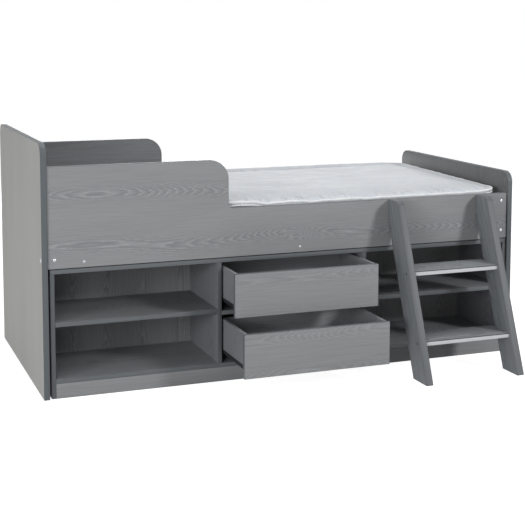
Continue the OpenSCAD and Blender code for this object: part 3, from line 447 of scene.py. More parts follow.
@dataclass(frozen=True)
class Nylon:
    """Moulded nylon: milky, slightly translucent plastic with a dull shine."""

    name: str = "natural nylon"
    colour: str = "#dedcd2"
    shade: str = "#cfcdc2"

    def build(self) -> bpy.types.Material:
        """Makes the material.

        Returns:
            The material, with its own node tree.
        """
        material, tree = new_material(self.name)
        place = add_node(tree, "TexCoord")
        # The mould's grain is finer than 0.1 mm; it is drawn 0.7 mm wide so that it shows
        spark = add_node(tree, "TexNoise", {"Vector": place.outputs["Object"], "Scale": 1400.0, "Detail": 2.0})
        bump = add_node(tree, "Bump", {"Height": spark.outputs[0], "Distance": 0.03 * MM, "Strength": 0.5})
        tint = add_node(tree, "Mix", {0: spark.outputs[0], 6: linear(self.colour), 7: linear(self.shade)},
                        data_type="RGBA")
        shade = add_node(tree, "BsdfPrincipled", {"Base Color": tint.outputs[2], "Roughness": 0.42, "IOR": 1.53,
                                                  "Subsurface Weight": 0.1, "Normal": bump.outputs[0]})
        add_node(tree, "OutputMaterial", {0: shade.outputs[0]})
        return material


@dataclass(frozen=True)
class Damask:
    """Mattress ticking: woven polyester damask, a matt ground with slightly shinier, bluer figures.

    The padding under it leaves soft dents. Where gather_mm is set, the stitching of the long sides also pulls the
    cloth into gathers of about that height. The seams lie half_mm to each side of middle_mm in Y.
    """

    name: str
    ground: str
    figure: str
    figure_mm: float = 46.0
    weave_mm: float = 2.4
    sheen: float = 0.25
    gather_mm: float = 0.0
    middle_mm: float = 166.0
    half_mm: float = 450.0

    def build(self) -> bpy.types.Material:
        """Makes the material.

        Returns:
            The material, with its own node tree.
        """
        material, tree = new_material(self.name)
        place = add_node(tree, "TexCoord")
        warp = add_node(tree, "TexNoise", {"Vector": place.outputs["Object"], "Scale": 1000 / self.figure_mm,
                                           "Detail": 2.0, "Distortion": 1.4})
        figure = add_node(tree, "MapRange", {0: warp.outputs[0], 1: 0.46, 2: 0.55},
                          interpolation_type="SMOOTHSTEP")
        # A slow change of tone, about 300 mm across, as the padding lies unevenly
        slow = add_node(tree, "TexNoise", {"Vector": place.outputs["Object"], "Scale": 3.2, "Detail": 2.0})
        # The real thread is 0.4 mm wide; it is drawn weave_mm wide so that the weave shows at all
        turn = 2 * math.pi * 1000 / self.weave_mm
        # Warp runs across X and weft across Y, and each also climbs with the height, so that the sides are woven too
        across = [add_node(tree, "VectorMath", {0: place.outputs["Object"], 1: axis}, operation="DOT_PRODUCT")
                  for axis in ((turn, 0.0, turn * 0.4), (0.0, turn, turn * 0.9))]
        threads = [add_node(tree, "Math", {0: part.outputs["Value"]}, operation="SINE") for part in across]
        weave = add_node(tree, "Math", {0: threads[0].outputs[0], 1: threads[1].outputs[0]}, operation="MULTIPLY")
        tint = add_node(tree, "Mix", {0: figure.outputs[0], 6: linear(self.ground), 7: linear(self.figure)},
                        data_type="RGBA")
        tone = add_node(tree, "MapRange", {0: slow.outputs[0], 1: 0.3, 2: 0.7, 3: 0.94, 4: 1.03})
        toned = add_node(tree, "HueSaturation", {"Color": tint.outputs[2], "Value": tone.outputs[0]})
        relief = add_node(tree, "Math", {0: weave.outputs[0], 1: 0.25, 2: figure.outputs[0]},
                          operation="MULTIPLY_ADD")
        soft = self._creases(tree, place)
        bump = add_node(tree, "Bump", {"Height": relief.outputs[0], "Distance": 0.35 * MM, "Strength": 0.5,
                                       "Normal": soft})
        gloss = add_node(tree, "MapRange", {0: figure.outputs[0], 3: 0.88, 4: 0.7})
        shade = add_node(tree, "BsdfPrincipled", {"Base Color": toned.outputs[0], "Roughness": gloss.outputs[0],
                                                  "IOR": 1.45, "Specular IOR Level": 0.25,
                                                  "Sheen Weight": self.sheen, "Sheen Roughness": 0.4,
                                                  "Normal": bump.outputs[0]})
        add_node(tree, "OutputMaterial", {0: shade.outputs[0]})
        return material

    def _creases(self, tree: bpy.types.NodeTree, place: bpy.types.Node) -> bpy.types.NodeSocket:
        """Makes the soft dents all over, and the gathers that the stitched long sides pull in.

        A gather runs from the seam into the cloth: its noise is short along the seam and long across it, and it
        fades with the distance from the seam. The noise swings about zero, so that it tilts nothing as a whole.

        Args:
            tree: Tree of the material.
            place: Texture coordinates.

        Returns:
            The normal of the creased cloth.
        """
        # Dents about 90 mm across, and pleats about 30 mm wide and 140 mm long
        dents = add_node(tree, "TexNoise", {"Vector": place.outputs["Object"], "Scale": 11.0, "Detail": 1.5})
        bent = add_node(tree, "Bump", {"Height": dents.outputs[0], "Distance": 13 * MM, "Strength": 0.7})
        if not self.gather_mm:
            return bent.outputs[0]
        squeezed = add_node(tree, "VectorMath", {0: place.outputs["Object"], 1: (36.0, 7.0, 7.0)},
                            operation="MULTIPLY")
        pleats = add_node(tree, "TexNoise", {"Vector": squeezed.outputs[0], "Scale": 1.0, "Detail": 2.0,
                                             "Distortion": 0.6})
        split = add_node(tree, "SeparateXYZ", {0: place.outputs["Object"]})
        shifted = add_node(tree, "Math", {0: split.outputs[1], 1: self.middle_mm * MM}, operation="SUBTRACT")
        side = add_node(tree, "Math", {0: shifted.outputs[0]}, operation="ABSOLUTE")
        amount = add_node(tree, "MapRange", {0: side.outputs[0], 1: (self.half_mm - 5 * self.gather_mm) * MM,
                                             2: (self.half_mm - 10) * MM, 3: 0.0, 4: 1.0},
                          interpolation_type="SMOOTHSTEP")
        swung = add_node(tree, "Math", {0: pleats.outputs[0], 1: 0.5}, operation="SUBTRACT")
        # The far side is pulled a third as much as the side where people climb in
        share = add_node(tree, "MapRange", {0: shifted.outputs[0], 1: -0.2, 2: 0.2, 3: 1.0, 4: 0.3})
        pulled = add_node(tree, "Math", {0: amount.outputs[0], 1: share.outputs[0]}, operation="MULTIPLY")
        height = add_node(tree, "Math", {0: swung.outputs[0], 1: pulled.outputs[0]}, operation="MULTIPLY")
        return add_node(tree, "Bump", {"Height": height.outputs[0], "Distance": self.gather_mm * MM, "Strength": 0.9,
                                       "Normal": bent.outputs[0]}).outputs[0]


class Finishes:
    """Every finish of the bed, each built once.

    The foil is one light grey print outside and one darker print inside. The boards that lie in the bays, the
    drawers and the ladder have prints of their own between the two, matched to the photograph. The drawer backs'
    print is lightened as painted light, for the light that falls into the drawers.
    """

    GREYS = {"ground": "#919294", "late_wood": "#818386", "bloom": "#a3a4a6"}
    DARKS = {"ground": "#696a6b", "late_wood": "#515252", "bloom": "#7c7d7e"}

    def __init__(self) -> None:
        """Builds the materials."""
        front_knots = ((-926.0, -308.0, 510.0), (28.0, -308.0, 556.0))
        kinds = {
            "front": WoodFoil("light grey ash foil, lengthwise", grain=Grain.LENGTHWISE, seed=1.09,
                              slide_mm=1000, flame_axis_mm=2421, knots_mm=front_knots, **self.GREYS),
            "drawer": WoodFoil("light grey ash foil of the drawers", grain=Grain.LENGTHWISE, seed=4.9,
                               flame_pitch_mm=149.0, flame_axis_mm=9766, flame_reach_mm=45, contrast=0.6,
                               **self.GREYS),
            "outer": WoodFoil("light grey ash foil, upright", "#b0b0ae", "#a5a5a3", "#b6b6b4", Grain.UPRIGHT,
                              contrast=0.35, seed=1.7),
            "inner": WoodFoil("dark grey ash foil, upright", grain=Grain.UPRIGHT, seed=3.1, contrast=0.6,
                              **self.DARKS),
            "inner_long": WoodFoil("dark grey ash foil, lengthwise", grain=Grain.LENGTHWISE, seed=4.4, **self.DARKS),
            "wall": WoodFoil("grey ash foil of the cabinet's walls", "#77787c", "#606164", "#87888c", Grain.UPRIGHT,
                             contrast=0.7, seed=8.3),
            "rear_inner": WoodFoil("grey ash foil of the rear panel, lengthwise", "#717274", "#555656", "#888a8c",
                                   Grain.LENGTHWISE, seed=4.4),
            "shelf": WoodFoil("grey ash foil of the shelves", "#898b8e", "#737578", "#98999c", Grain.LENGTHWISE,
                              seed=6.1),
            "drawer_side": WoodFoil("grey ash foil of the drawer sides", "#7d7f82", "#6b6d70", "#8b8d90",
                                    Grain.LENGTHWISE, seed=6.1),
            # Painted light: the drawer backs' foil is lighter than the sides', standing for the light that falls into
            # the drawers onto them
            "drawer_back": WoodFoil("grey ash foil of the drawer backs", "#8e8f92", "#7e8082", "#9a9b9e",
                                    Grain.LENGTHWISE, contrast=0.5, seed=2.6),
            "tread": WoodFoil("grey ash foil of the treads", "#8a8d90", "#6b6e71", "#9fa2a5", Grain.LENGTHWISE,
                              flame_pitch_mm=90.0, streaky=1.5, seed=7.3),
            "back": WoodFoil("grey ash foil of the back", "#88898b", "#757678", "#969799", Grain.UPRIGHT,
                             flame_pitch_mm=150.0, seed=5.2),
            "ladder": WoodFoil("dark grey ash foil, up the ladder", "#787c80", "#5e6266", "#8e9295",
                               Grain.UP_THE_LADDER, streaky=1.7, seed=2.2),
            "band_long": EdgeBand("grey edge band, lengthwise", "#6a6e71", "#5d6164", Grain.LENGTHWISE),
            "band_upright": EdgeBand("grey edge band, upright", "#5d6266", "#545a5e", Grain.UPRIGHT),
            "band_cabinet": EdgeBand("dark edge band of the cabinet", "#585c5f", "#4d5154", Grain.UPRIGHT),
            "band_shelf": EdgeBand("dark edge band of the shelves", "#676b6e", "#5b5f62", Grain.LENGTHWISE),
            "band_ladder": EdgeBand("grey edge band, up the ladder", "#5e6165", "#54585c", Grain.UP_THE_LADDER),
            # Painted shade: the nosing's dark line along its top stands for the shade under the tread's edge
            "nosing": EdgeBand("pale nosing under a dark joint", "#dadcde", "#c6c9cc", Grain.LENGTHWISE, 0.45,
                               shade_line_mm=4.0),
            "pine": BareWood(),
            "slat_pine": BareWood("planed pine, depthwise", Grain.DEPTHWISE),
            "beech": BareWood("turned beech", Grain.LENGTHWISE, "#d3a97f", "#bd8c60"),
            "zinc": PlatedSteel(),
            # Painted shade: a darkened copy of the plated steel for the screws and pins inside the cabinet, which lie
            # in the bays' shade
            "pin": PlatedSteel("plated steel darkened as painted shade inside the cabinet", "#6f7174", 0.5, "#5d6063"),
            "cap": PowderCoat("dark screw cap", "#3b4146"),
            "runner": PowderCoat(),
            "nylon": Nylon(),
            "ticking": Damask("mattress ticking", "#d8dbdf", "#d3d8df", gather_mm=26.0),
            "piping": Damask("mattress piping", "#f6f7f8", "#f1f4f6", 12.0, 1.6, 0.15),
        }
        self.made = {key: kind.build() for key, kind in kinds.items()}

    def pick(self, *keys: str) -> list[bpy.types.Material]:
        """Gives the materials of these keys, in order."""
        return [self.made[key] for key in keys]


# Shapes

@dataclass
class Shape:
    """Points with faces, each face with the number of its finish."""

    points: np.ndarray
    faces: list[list[int]]
    finish: np.ndarray

    @staticmethod
    def joined(parts: Sequence["Shape"]) -> "Shape":
        """Puts several shapes into one.

        Args:
            parts: The shapes.

        Returns:
            One shape with all their points and faces.
        """
        starts = np.cumsum([0] + [len(part.points) for part in parts[:-1]])
        faces = [[index + int(start) for index in face] for part, start in zip(parts, starts)
                 for face in part.faces]
        return Shape(np.concatenate([part.points for part in parts]), faces,
                     np.concatenate([part.finish for part in parts]))


def ring_quads(rings: int, around: int, flip: bool = False) -> np.ndarray:
    """Numbers the quads between closed rings of points.

    A point's number is its ring times the points of a ring, plus its step round the ring, and the last step joins
    the first.

    Args:
        rings: Number of rings.
        around: Points of each ring.
        flip: Turns the faces over.

    Returns:
        One row of four point numbers per quad.
    """
    ring, step = np.meshgrid(np.arange(rings - 1), np.arange(around), indexing="ij")
    here, there = ring * around + step, ring * around + (step + 1) % around
    quads = np.stack([here, there, there + around, here + around], axis=-1).reshape(-1, 4)
    return quads[:, ::-1] if flip else quads


def rounded_outline(corners: Sequence[tuple[float, float, float]], least: float,
                    steps: int) -> tuple[np.ndarray, np.ndarray]:
    """Rounds the corners of a closed polygon.

    Each corner becomes an arc. Its centre lies one radius square off the side that comes in, and its points are
    that side's tangent point, turned about the centre in equal steps through the corner's whole turn.

    Args:
        corners: Rows of the two coordinates and the radius of each corner, anticlockwise.
        least: Smallest radius.
        steps: Parts of each arc.

    Returns:
        The outline's points and its outward normals.
    """
    table = np.array(corners, dtype=float)
    point, radius = table[:, :2], np.maximum(table[:, 2:], least)
    into = point - np.roll(point, 1, axis=0)
    into /= np.linalg.norm(into, axis=1, keepdims=True)
    away = np.roll(into, -1, axis=0)
    turn = np.arctan2(into[:, 0] * away[:, 1] - into[:, 1] * away[:, 0], (into * away).sum(axis=1))[:, None]
    side = np.sign(turn)
    inward = np.stack([-into[:, 1], into[:, 0]], axis=1) * side
    centre = point - into * radius * np.tan(np.abs(turn) / 2) + inward * radius
    angle = (turn * np.linspace(0, 1, steps + 1))[..., None]
    spoke = -inward[:, None, :]
    across = np.stack([-spoke[..., 1], spoke[..., 0]], axis=-1)
    turned = spoke * np.cos(angle) + across * np.sin(angle)
    outline = centre[:, None, :] + turned * radius[:, None, :]
    return outline.reshape(-1, 2), (turned * side[:, None, :]).reshape(-1, 2)


def slab(corners: Sequence[tuple[float, float, float]], axis: int, low: float, high: float, arris: float,
         steps: int) -> Shape:
    """Makes a board: an outline carried through its thickness, with its rims rounded by quarter circles.

    Along a rim, the outline is set in by the radius less its sine share, while the height grows by the radius less
    its cosine share.

    Args:
        corners: Corners of the outline in the other two coordinates, as rounded_outline takes them.
        axis: Number of the coordinate that the thickness runs along.
        low: Low face.
        high: High face.
        arris: Radius of the rims.
        steps: Parts of each arc of the outline.

    Returns:
        The board, with finish 0 on its low face, 1 on its high face, 2 on its edges and 3 on the edge at the front.
    """
    outline, normals = rounded_outline(corners, arris * 1.3, steps)
    bend = np.linspace(0, math.pi / 2, 4)
    inset = np.concatenate([arris * (1 - np.sin(bend)), (arris * (1 - np.sin(bend)))[::-1]])
    height = np.concatenate([low + arris * (1 - np.cos(bend)), high - (arris * (1 - np.cos(bend)))[::-1]])
    around = len(outline)
    points = np.empty((len(inset), around, 3))
    plane = [other for other in range(3) if other != axis]
    points[..., plane] = outline - normals * inset[:, None, None]
    points[..., axis] = height[:, None]
    flip = axis == 1
    quads = ring_quads(len(inset), around, flip)
    last = (len(inset) - 1) * around
    bottom, top = np.arange(around)[::-1], last + np.arange(around)
    caps = [bottom[::-1].tolist(), top[::-1].tolist()] if flip else [bottom.tolist(), top.tolist()]
    flat = points.reshape(-1, 3)
    finish = np.full(len(quads), 2)
    if axis == 2:
        finish[flat[quads][..., 1].max(axis=1) < flat[:, 1].min() + 2 * arris] = 3
    return Shape(flat, caps + quads.tolist(), np.concatenate([[0, 1], finish]))


def block(node: str, axis: int, arris: float) -> Shape:
    """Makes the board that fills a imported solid's box.

    Args:
        node: Name of the solid.
        axis: Number of the coordinate that its thickness runs along.
        arris: Radius of its rims.

    Returns:
        The board.
    """
    low, high = (np.array(corner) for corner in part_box(node))
    a, b = (other for other in range(3) if other != axis)
    corners = [(low[a], low[b], 0), (high[a], low[b], 0), (high[a], high[b], 0), (low[a], high[b], 0)]
    return slab(corners, axis, low[axis], high[axis], arris, steps=3)


def turned_part(profile: Sequence[tuple[float, float]], start: Sequence[float], axis: int, way: float,
                around: int = 24) -> Shape:
    """Turns a profile round an axis, as on a lathe.

    A ring's points lie off the axis by its radius times the cosine and the sine of equal steps round the circle.

    Args:
        profile: Radius and distance along the axis of each point, from one pole to the other.
        start: Point that the distances count from.
        axis: Number of the coordinate along the axis.
        way: 1 or -1, the way that the distances count.
        around: Points of each ring.

    Returns:
        The closed part, with finish 0.
    """
    radius, along = np.array(profile).T
    angle = np.linspace(0, 2 * math.pi, around, endpoint=False)
    points = np.empty((len(radius), around, 3))
    a, b = (axis + 1) % 3, (axis + 2) % 3
    points[..., a] = start[a] + radius[:, None] * np.cos(angle)
    points[..., b] = start[b] + radius[:, None] * np.sin(angle)
    points[..., axis] = start[axis] + way * along[:, None]
    quads = ring_quads(len(radius), around, way < 0).tolist()
    first, last = np.arange(around), (len(radius) - 1) * around + np.arange(around)
    caps = [first.tolist(), last[::-1].tolist()] if way < 0 else [first[::-1].tolist(), last.tolist()]
    faces = caps + quads
    return Shape(points.reshape(-1, 3), faces, np.zeros(len(faces), int))


def swept(path: np.ndarray, outline: np.ndarray, finish: Sequence[int] = (0,)) -> Shape:
    """Carries an outline round a closed path: each ring stands square to the path, with its top towards +Z.

    The path's way at a point is the line between its two neighbours. Outward is that way crossed with +Z, and a
    ring's points are the path's point, moved outward by the outline's first number and up by its second.

    Args:
        path: Points of the closed path, anticlockwise seen from above.
        outline: Points outward and up from the path, anticlockwise when outward is to the right; or one such
            outline for each point of the path.
        finish: Finish of each of the outline's edges; one number stands for all.

    Returns:
        The swept shape.
    """
    ahead = np.roll(path, -1, axis=0) - np.roll(path, 1, axis=0)
    ahead /= np.linalg.norm(ahead, axis=1, keepdims=True)
    out = np.cross(ahead, [0.0, 0.0, 1.0])
    out /= np.linalg.norm(out, axis=1, keepdims=True)
    up = np.cross(out, ahead)
    rings = path[:, None] + out[:, None] * outline[..., 0, None] + up[:, None] * outline[..., 1, None]
    count, around = rings.shape[:2]
    quads = ring_quads(count + 1, around, flip=True) % (count * around)
    return Shape(rings.reshape(-1, 3), quads.tolist(), np.resize(np.resize(finish, around), len(quads)))


def make_piece(name: str, shape: Shape, materials: Sequence[bpy.types.Material], body: str,
               nodes: Sequence[str] = ()) -> bpy.types.Object:
    """Puts a shape into the scene as one piece of the bed: its rims shaded round, its many-cornered caps flat.

    Args:
        name: Name of the piece.
        shape: Its points and faces.
        materials: Its finishes, in the order of the face numbers.
        body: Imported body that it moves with.
        nodes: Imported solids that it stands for.

    Returns:
        The piece.
    """
    mesh = bpy.data.meshes.new(name)
    mesh.from_pydata(shape.points, [], shape.faces)
    for material in materials:
        mesh.materials.append(material)
    mesh.polygons.foreach_set("material_index", np.minimum(shape.finish, len(materials) - 1).astype(np.int32))
    sides = np.zeros(len(mesh.polygons), np.int32)
    mesh.polygons.foreach_get("loop_total", sides)
    mesh.polygons.foreach_set("use_smooth", sides == 4)
    mesh.update()
    mesh.set_sharp_from_angle(angle=SHARP)
    piece = bpy.data.objects.new(name, mesh)
    bpy.context.scene.collection.objects.link(piece)
    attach(piece, body)
    if nodes:
        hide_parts(*nodes)
    LOG.info("%s: %d faces on %s", name, len(mesh.polygons), body)
    return piece


def repaint(node: str, material: bpy.types.Material) -> None:
    """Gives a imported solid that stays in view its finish.

    Args:
        node: Name of the solid.
        material: Its finish.
    """
    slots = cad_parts[node].data.materials
    slots.clear()
    slots.append(material)
    LOG.info("%s: %s", node, material.name)


# Sub-assemblies


@dataclass
class EndPanels:
    """Headboard and footboard: upright boards with two round top corners each."""

    finishes: Finishes
    corner: float = 45 * MM
    arris: float = 1.5 * MM

    def build(self) -> None:
        """Makes both panels, light outside and dark inside."""
        for node, faces in (("headboard", ("outer", "inner", "band_upright")),
                            ("footboard", ("inner", "outer", "band_upright"))):
            low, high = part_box(node)
            corners = [(low.y, low.z, 0), (high.y, low.z, 0), (high.y, high.z, self.corner),
                       (low.y, high.z, self.corner)]
            make_piece(node + "_board", slab(corners, 0, low.x, high.x, self.arris, steps=12),
                       self.finishes.pick(*faces), "bed", [node])


@dataclass
class SidePanels:
    """Front and rear side panels, each with a high stretch at the head."""

    finishes: Finishes
    high_length: float = 694 * MM
    low_height: float = 189 * MM
    step_radius: float = 75 * MM
    hollow_radius: float = 20 * MM
    arris: float = 1.5 * MM

    def build(self) -> None:
        """Makes both panels, light outside and dark inside."""
        for node, faces in (("front_side_panel", ("front", "inner_long", "band_long")),
                            ("rear_side_panel", ("rear_inner", "front", "band_long"))):
            low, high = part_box(node)
            step, shoulder = low.x + self.high_length, low.z + self.low_height
            corners = [(low.x, low.z, 0), (high.x, low.z, 0), (high.x, shoulder, 0),
                       (step, shoulder, self.hollow_radius), (step, high.z, self.step_radius), (low.x, high.z, 0)]
            make_piece(node + "_board", slab(corners, 1, low.y, high.y, self.arris, steps=16),
                       self.finishes.pick(*faces), "bed", [node])


@dataclass
class SlattedBase:
    """Two rails and the slats across them, in planed pine."""

    finishes: Finishes
    slats: int = 13
    slat_width: float = 70 * MM
    slat_arris: float = 2.5 * MM
    rail_arris: float = 2 * MM

    def build(self) -> None:
        """Makes the rails and the slats."""
        for node in ("front_slat_rail", "rear_slat_rail"):
            make_piece(node + "_bar", block(node, 1, self.rail_arris), self.finishes.pick("pine"), "bed",
                       [node])
        low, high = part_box("bed_slats")
        starts = np.linspace(low.x, high.x - self.slat_width, self.slats)
        boards = [slab([(start, low.y, 0), (start + self.slat_width, low.y, 0),
                        (start + self.slat_width, high.y, 0), (start, high.y, 0)],
                       2, low.z, high.z, self.slat_arris, steps=3)
                  for start in starts]
        make_piece("bed_slats_boards", Shape.joined(boards), self.finishes.pick("slat_pine"), "bed",
                   ["bed_slats"])


@dataclass
class Cabinet:
    """The low cabinet: every board with its faces, its edge band and its own way of the grain.

    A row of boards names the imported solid, the axis that its thickness runs along, and the finishes of its low
    face, high face and edges.
    """

    finishes: Finishes
    boards: tuple[tuple[str, int, tuple[str, ...]], ...] = (
        ("cabinet_top", 2, ("inner_long", "inner_long", "band_shelf")),
        ("cabinet_bottom", 2, ("shelf", "shelf", "band_shelf")),
        ("cabinet_left_side", 0, ("wall", "wall", "band_cabinet")),
        ("cabinet_right_side", 0, ("wall", "wall", "band_cabinet")),
        ("left_divider", 0, ("wall", "wall", "band_cabinet")),
        ("right_divider", 0, ("wall", "wall", "band_cabinet")),
        ("left_shelf", 2, ("shelf", "shelf", "band_shelf")),
        ("right_shelf", 2, ("shelf", "shelf", "band_shelf")),
        ("drawer_shelf", 2, ("inner_long", "inner_long", "band_shelf")),
        ("front_plinth", 1, ("front", "inner_long", "band_long")),
        ("rear_plinth", 1, ("inner_long", "inner_long", "band_long")),
        ("cabinet_back", 1, ("back", "back", "band_cabinet")),
    )
    arris: float = 1.0 * MM
    back_arris: float = 0.5 * MM

    def build(self) -> None:
        """Makes the boards."""
        for node, axis, faces in self.boards:
            arris = self.back_arris if node == "cabinet_back" else self.arris
            make_piece(node + "_board", block(node, axis, arris), self.finishes.pick(*faces), "bed",
                       [node])


class Level(Enum):
    """The two drawers, by their place in the cabinet."""

    UPPER = "upper"
    LOWER = "lower"


@dataclass
class Drawer:
    """One drawer: a light front on a darker box, with its runners."""

    finishes: Finishes
    level: Level
    front_arris: float = 1.4 * MM
    box_arris: float = 0.8 * MM

    def build(self) -> None:
        """Makes the drawer's boards and dresses its runners."""
        body = self.level.value + "_drawer"
        front = block(body + "_front", 1, self.front_arris)
        make_piece(body + "_front_board", front, self.finishes.pick("drawer", "inner_long", "band_long"), body,
                   [body + "_front"])
        for side in ("left", "right"):
            make_piece(f"{body}_{side}_board", block(f"{body}_{side}_side", 0, self.box_arris),
                       self.finishes.pick("drawer_side"), body, [f"{body}_{side}_side"])
            for part, key in (("cabinet_rail", "runner"), ("drawer_rail", "runner"), ("front_roller", "nylon"),
                              ("rear_roller", "nylon")):
                repaint(f"{self.level.value}_{side}_{part}", self.finishes.made[key])
        # The back board takes the foil lightened as painted light
        make_piece(body + "_back_board", block(body + "_back", 1, self.box_arris),
                   self.finishes.pick("drawer_back"), body, [body + "_back"])
        repaint(body + "_base", self.finishes.made["inner_long"])
        repaint(body + "_screws", self.finishes.made["zinc"])


@dataclass
class Ladder:
    """Two leaning stiles and two housed treads with pale nosings.

    A stile stands foot_depth deep on the floor and ends top_depth deep against the bed, both cut level. Its front
    edge leans over the whole height, by the stile's depth less top_depth. Its rear edge runs parallel to that, and
    turns upright where it meets the bed.
    """

    finishes: Finishes
    foot_depth: float = 110 * MM
    top_depth: float = 76 * MM
    corner: float = 30 * MM
    arris: float = 2.0 * MM

    def build(self) -> None:
        """Makes the stiles and the treads."""
        for node in ("ladder_left_stile", "ladder_right_stile"):
            low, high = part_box(node)
            slope = (high.y - low.y - self.top_depth) / (high.z - low.z)
            flat = low.z + (high.y - low.y - self.foot_depth) / slope
            corners = [(low.y, low.z, 0), (low.y + self.foot_depth, low.z, 0), (high.y, flat, 0), (high.y, high.z, 0),
                       (high.y - self.top_depth, high.z, self.corner)]
            make_piece(node + "_board", slab(corners, 0, low.x, high.x, self.arris, steps=10),
                       self.finishes.pick("ladder", "ladder", "band_ladder"), "bed", [node])
        for node in ("upper_tread", "lower_tread"):
            make_piece(node + "_board", block(node, 2, self.arris),
                       self.finishes.pick("tread", "tread", "band_long", "nosing"), "bed", [node])


@dataclass
class Mattress:
    """The mattress: a padded form in damask ticking, with corded tape edges round its top and bottom.

    The top edge sags where a sitter gets in over the low side: rim_mm gives its rise along the near side, at
    distances from the head, and far_mm its rise along the far side. The cover ends a little short of the footboard.
    Its blank is a stack of rounded outlines: under_mm gives how far each is set in and how high it lies over the
    underside, and over_mm the same for the rest, with heights from the top. The blank is remeshed in voxels and
    filled, and no point may move further than swell. Its rims then get the radius rim, the upper one crown below
    the top. The tape edge has cords of the radius cord, the lower one hanging tape below the upper.
    """

    finishes: Finishes
    corner: float = 60 * MM
    shy: float = 10 * MM
    around: int = 240
    under_mm: tuple[tuple[float, float], ...] = ((220, 2), (120, 2), (50, 2), (16, 2), (9, 5), (8, 14), (8, 74))
    over_mm: tuple[tuple[float, float], ...] = ((8, -30), (9, -15), (15, -10), (50, -8), (120, -7), (220, -6.5),
                                                (330, -6))
    voxel: float = 14 * MM
    pressure: float = 4.0
    cloth_quality: int = 5
    stretch_stiffness: float = 30.0
    bending_stiffness: float = 4.0
    last_frame: int = 20
    swell: float = 12 * MM
    rim: float = 12 * MM
    rim_catch: tuple[float, float] = (0.35, 1.6)
    crown: float = 8 * MM
    sag_reach: float = 60 * MM
    gather: float = 2.0 * MM
    gather_reach: float = 34 * MM
    hollow: float = 0.6 * MM
    hollow_reach: float = 120 * MM
    headroom: float = 12 * MM
    cord: float = 4.3 * MM
    cord_inset: float = 5 * MM
    tape: float = 13 * MM
    tape_drop: float = 11 * MM
    tape_tuck_mm: tuple[tuple[float, float], ...] = ((-16, 1.6), (-30, -3))
    tape_points: int = 900
    piping_rise: float = 8 * MM
    piping_points: int = 600
    far_mm: tuple[tuple[float, float], ...] = ((0, 14), (1600, 15), (1800, 12), (1896, 10))
    rim_mm: tuple[tuple[float, float], ...] = ((0, 0), (690, 0), (800, -1), (860, -12), (905, -8), (1015, -9),
                                               (1035, -14), (1075, -11), (1255, -10), (1275, -13), (1310, -11),
                                               (1680, -11), (1790, -9), (1876, -2.6), (1896, -2))

    def build(self) -> None:
        """Makes the padded body and its cords."""
        low, high = (np.array(corner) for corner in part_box("mattress"))
        high[0] -= self.shy
        piece = make_piece("mattress_body", self._blank(low, high), self.finishes.pick("ticking"), "bed",
                           ["mattress"])
        self._inflate(piece)
        self._tailor(piece, low, high)
        refine = piece.modifiers.new("refine", "SUBSURF")
        refine.levels = refine.render_levels = 1
        make_piece("mattress_top_binding", self._binding(low, high), self.finishes.pick("piping", "ticking"), "bed")
        make_piece("mattress_bottom_piping", self._piping(low, high), self.finishes.pick("piping"), "bed")

    def _edge(self, low: np.ndarray, high: np.ndarray, inset: float, count: int) -> np.ndarray:
        """Walks round the mattress's rounded outline in equal steps.

        The run is the sum of the chords up to each point of the outline, and x and y are looked up at equal parts
        of the whole run.

        Args:
            low: Lowest corner of the mattress.
            high: Highest corner of the mattress.
            inset: How far the outline is set in.
            count: Number of points.

        Returns:
            One row of x and y per point.
        """
        corner = max(self.corner - inset, self.rim)
        x0, y0, x1, y1 = low[0] + inset, low[1] + inset, high[0] - inset, high[1] - inset
        outline, _ = rounded_outline([(x, y, corner) for x, y in ((x0, y0), (x1, y0), (x1, y1), (x0, y1))],
                                     corner, steps=10)
        closed = np.vstack([outline, outline[:1]])
        run = np.concatenate([[0], np.cumsum(np.linalg.norm(np.diff(closed, axis=0), axis=1))])
        wanted = np.linspace(0, run[-1], count, endpoint=False)
        return np.stack([np.interp(wanted, run, closed[:, k]) for k in (0, 1)], axis=1)

    def _rim(self, x: np.ndarray, y: np.ndarray, low: np.ndarray, high: np.ndarray) -> np.ndarray:
        """Gives the rise of the top edge: the near side's profile, blended into the far side's rise by depth.

        Args:
            x: Place of each point along the mattress.
            y: Place of each point across it.
            low: Lowest corner of the mattress.
            high: Highest corner of the mattress.

        Returns:
            The rise of each point.
        """
        near, far = (np.interp(x - low[0], *(np.array(side).T * MM)) for side in (self.rim_mm, self.far_mm))
        depth = np.clip((y - low[1]) / (high[1] - low[1]), 0, 1)
        return near * (1 - depth) + far * depth

    def _blank(self, low: np.ndarray, high: np.ndarray) -> Shape:
        """Makes the unfilled cover: rings from the flat underside up a straight side to the low crown.

        Args:
            low: Lowest corner of the mattress.
            high: Highest corner of the mattress.

        Returns:
            The closed cover.
        """
        tall = (high[2] - low[2]) / MM
        stack = np.array([*self.under_mm, *((inset, tall + level) for inset, level in self.over_mm)]) * MM
        rings = [np.column_stack([self._edge(low, high, inset, self.around), np.full(self.around, low[2] + level)])
                 for inset, level in stack]
        first, last = np.arange(self.around), (len(rings) - 1) * self.around + np.arange(self.around)
        faces = [first[::-1].tolist(), last.tolist()] + ring_quads(len(rings), self.around).tolist()
        return Shape(np.concatenate(rings), faces, np.zeros(len(faces), int))

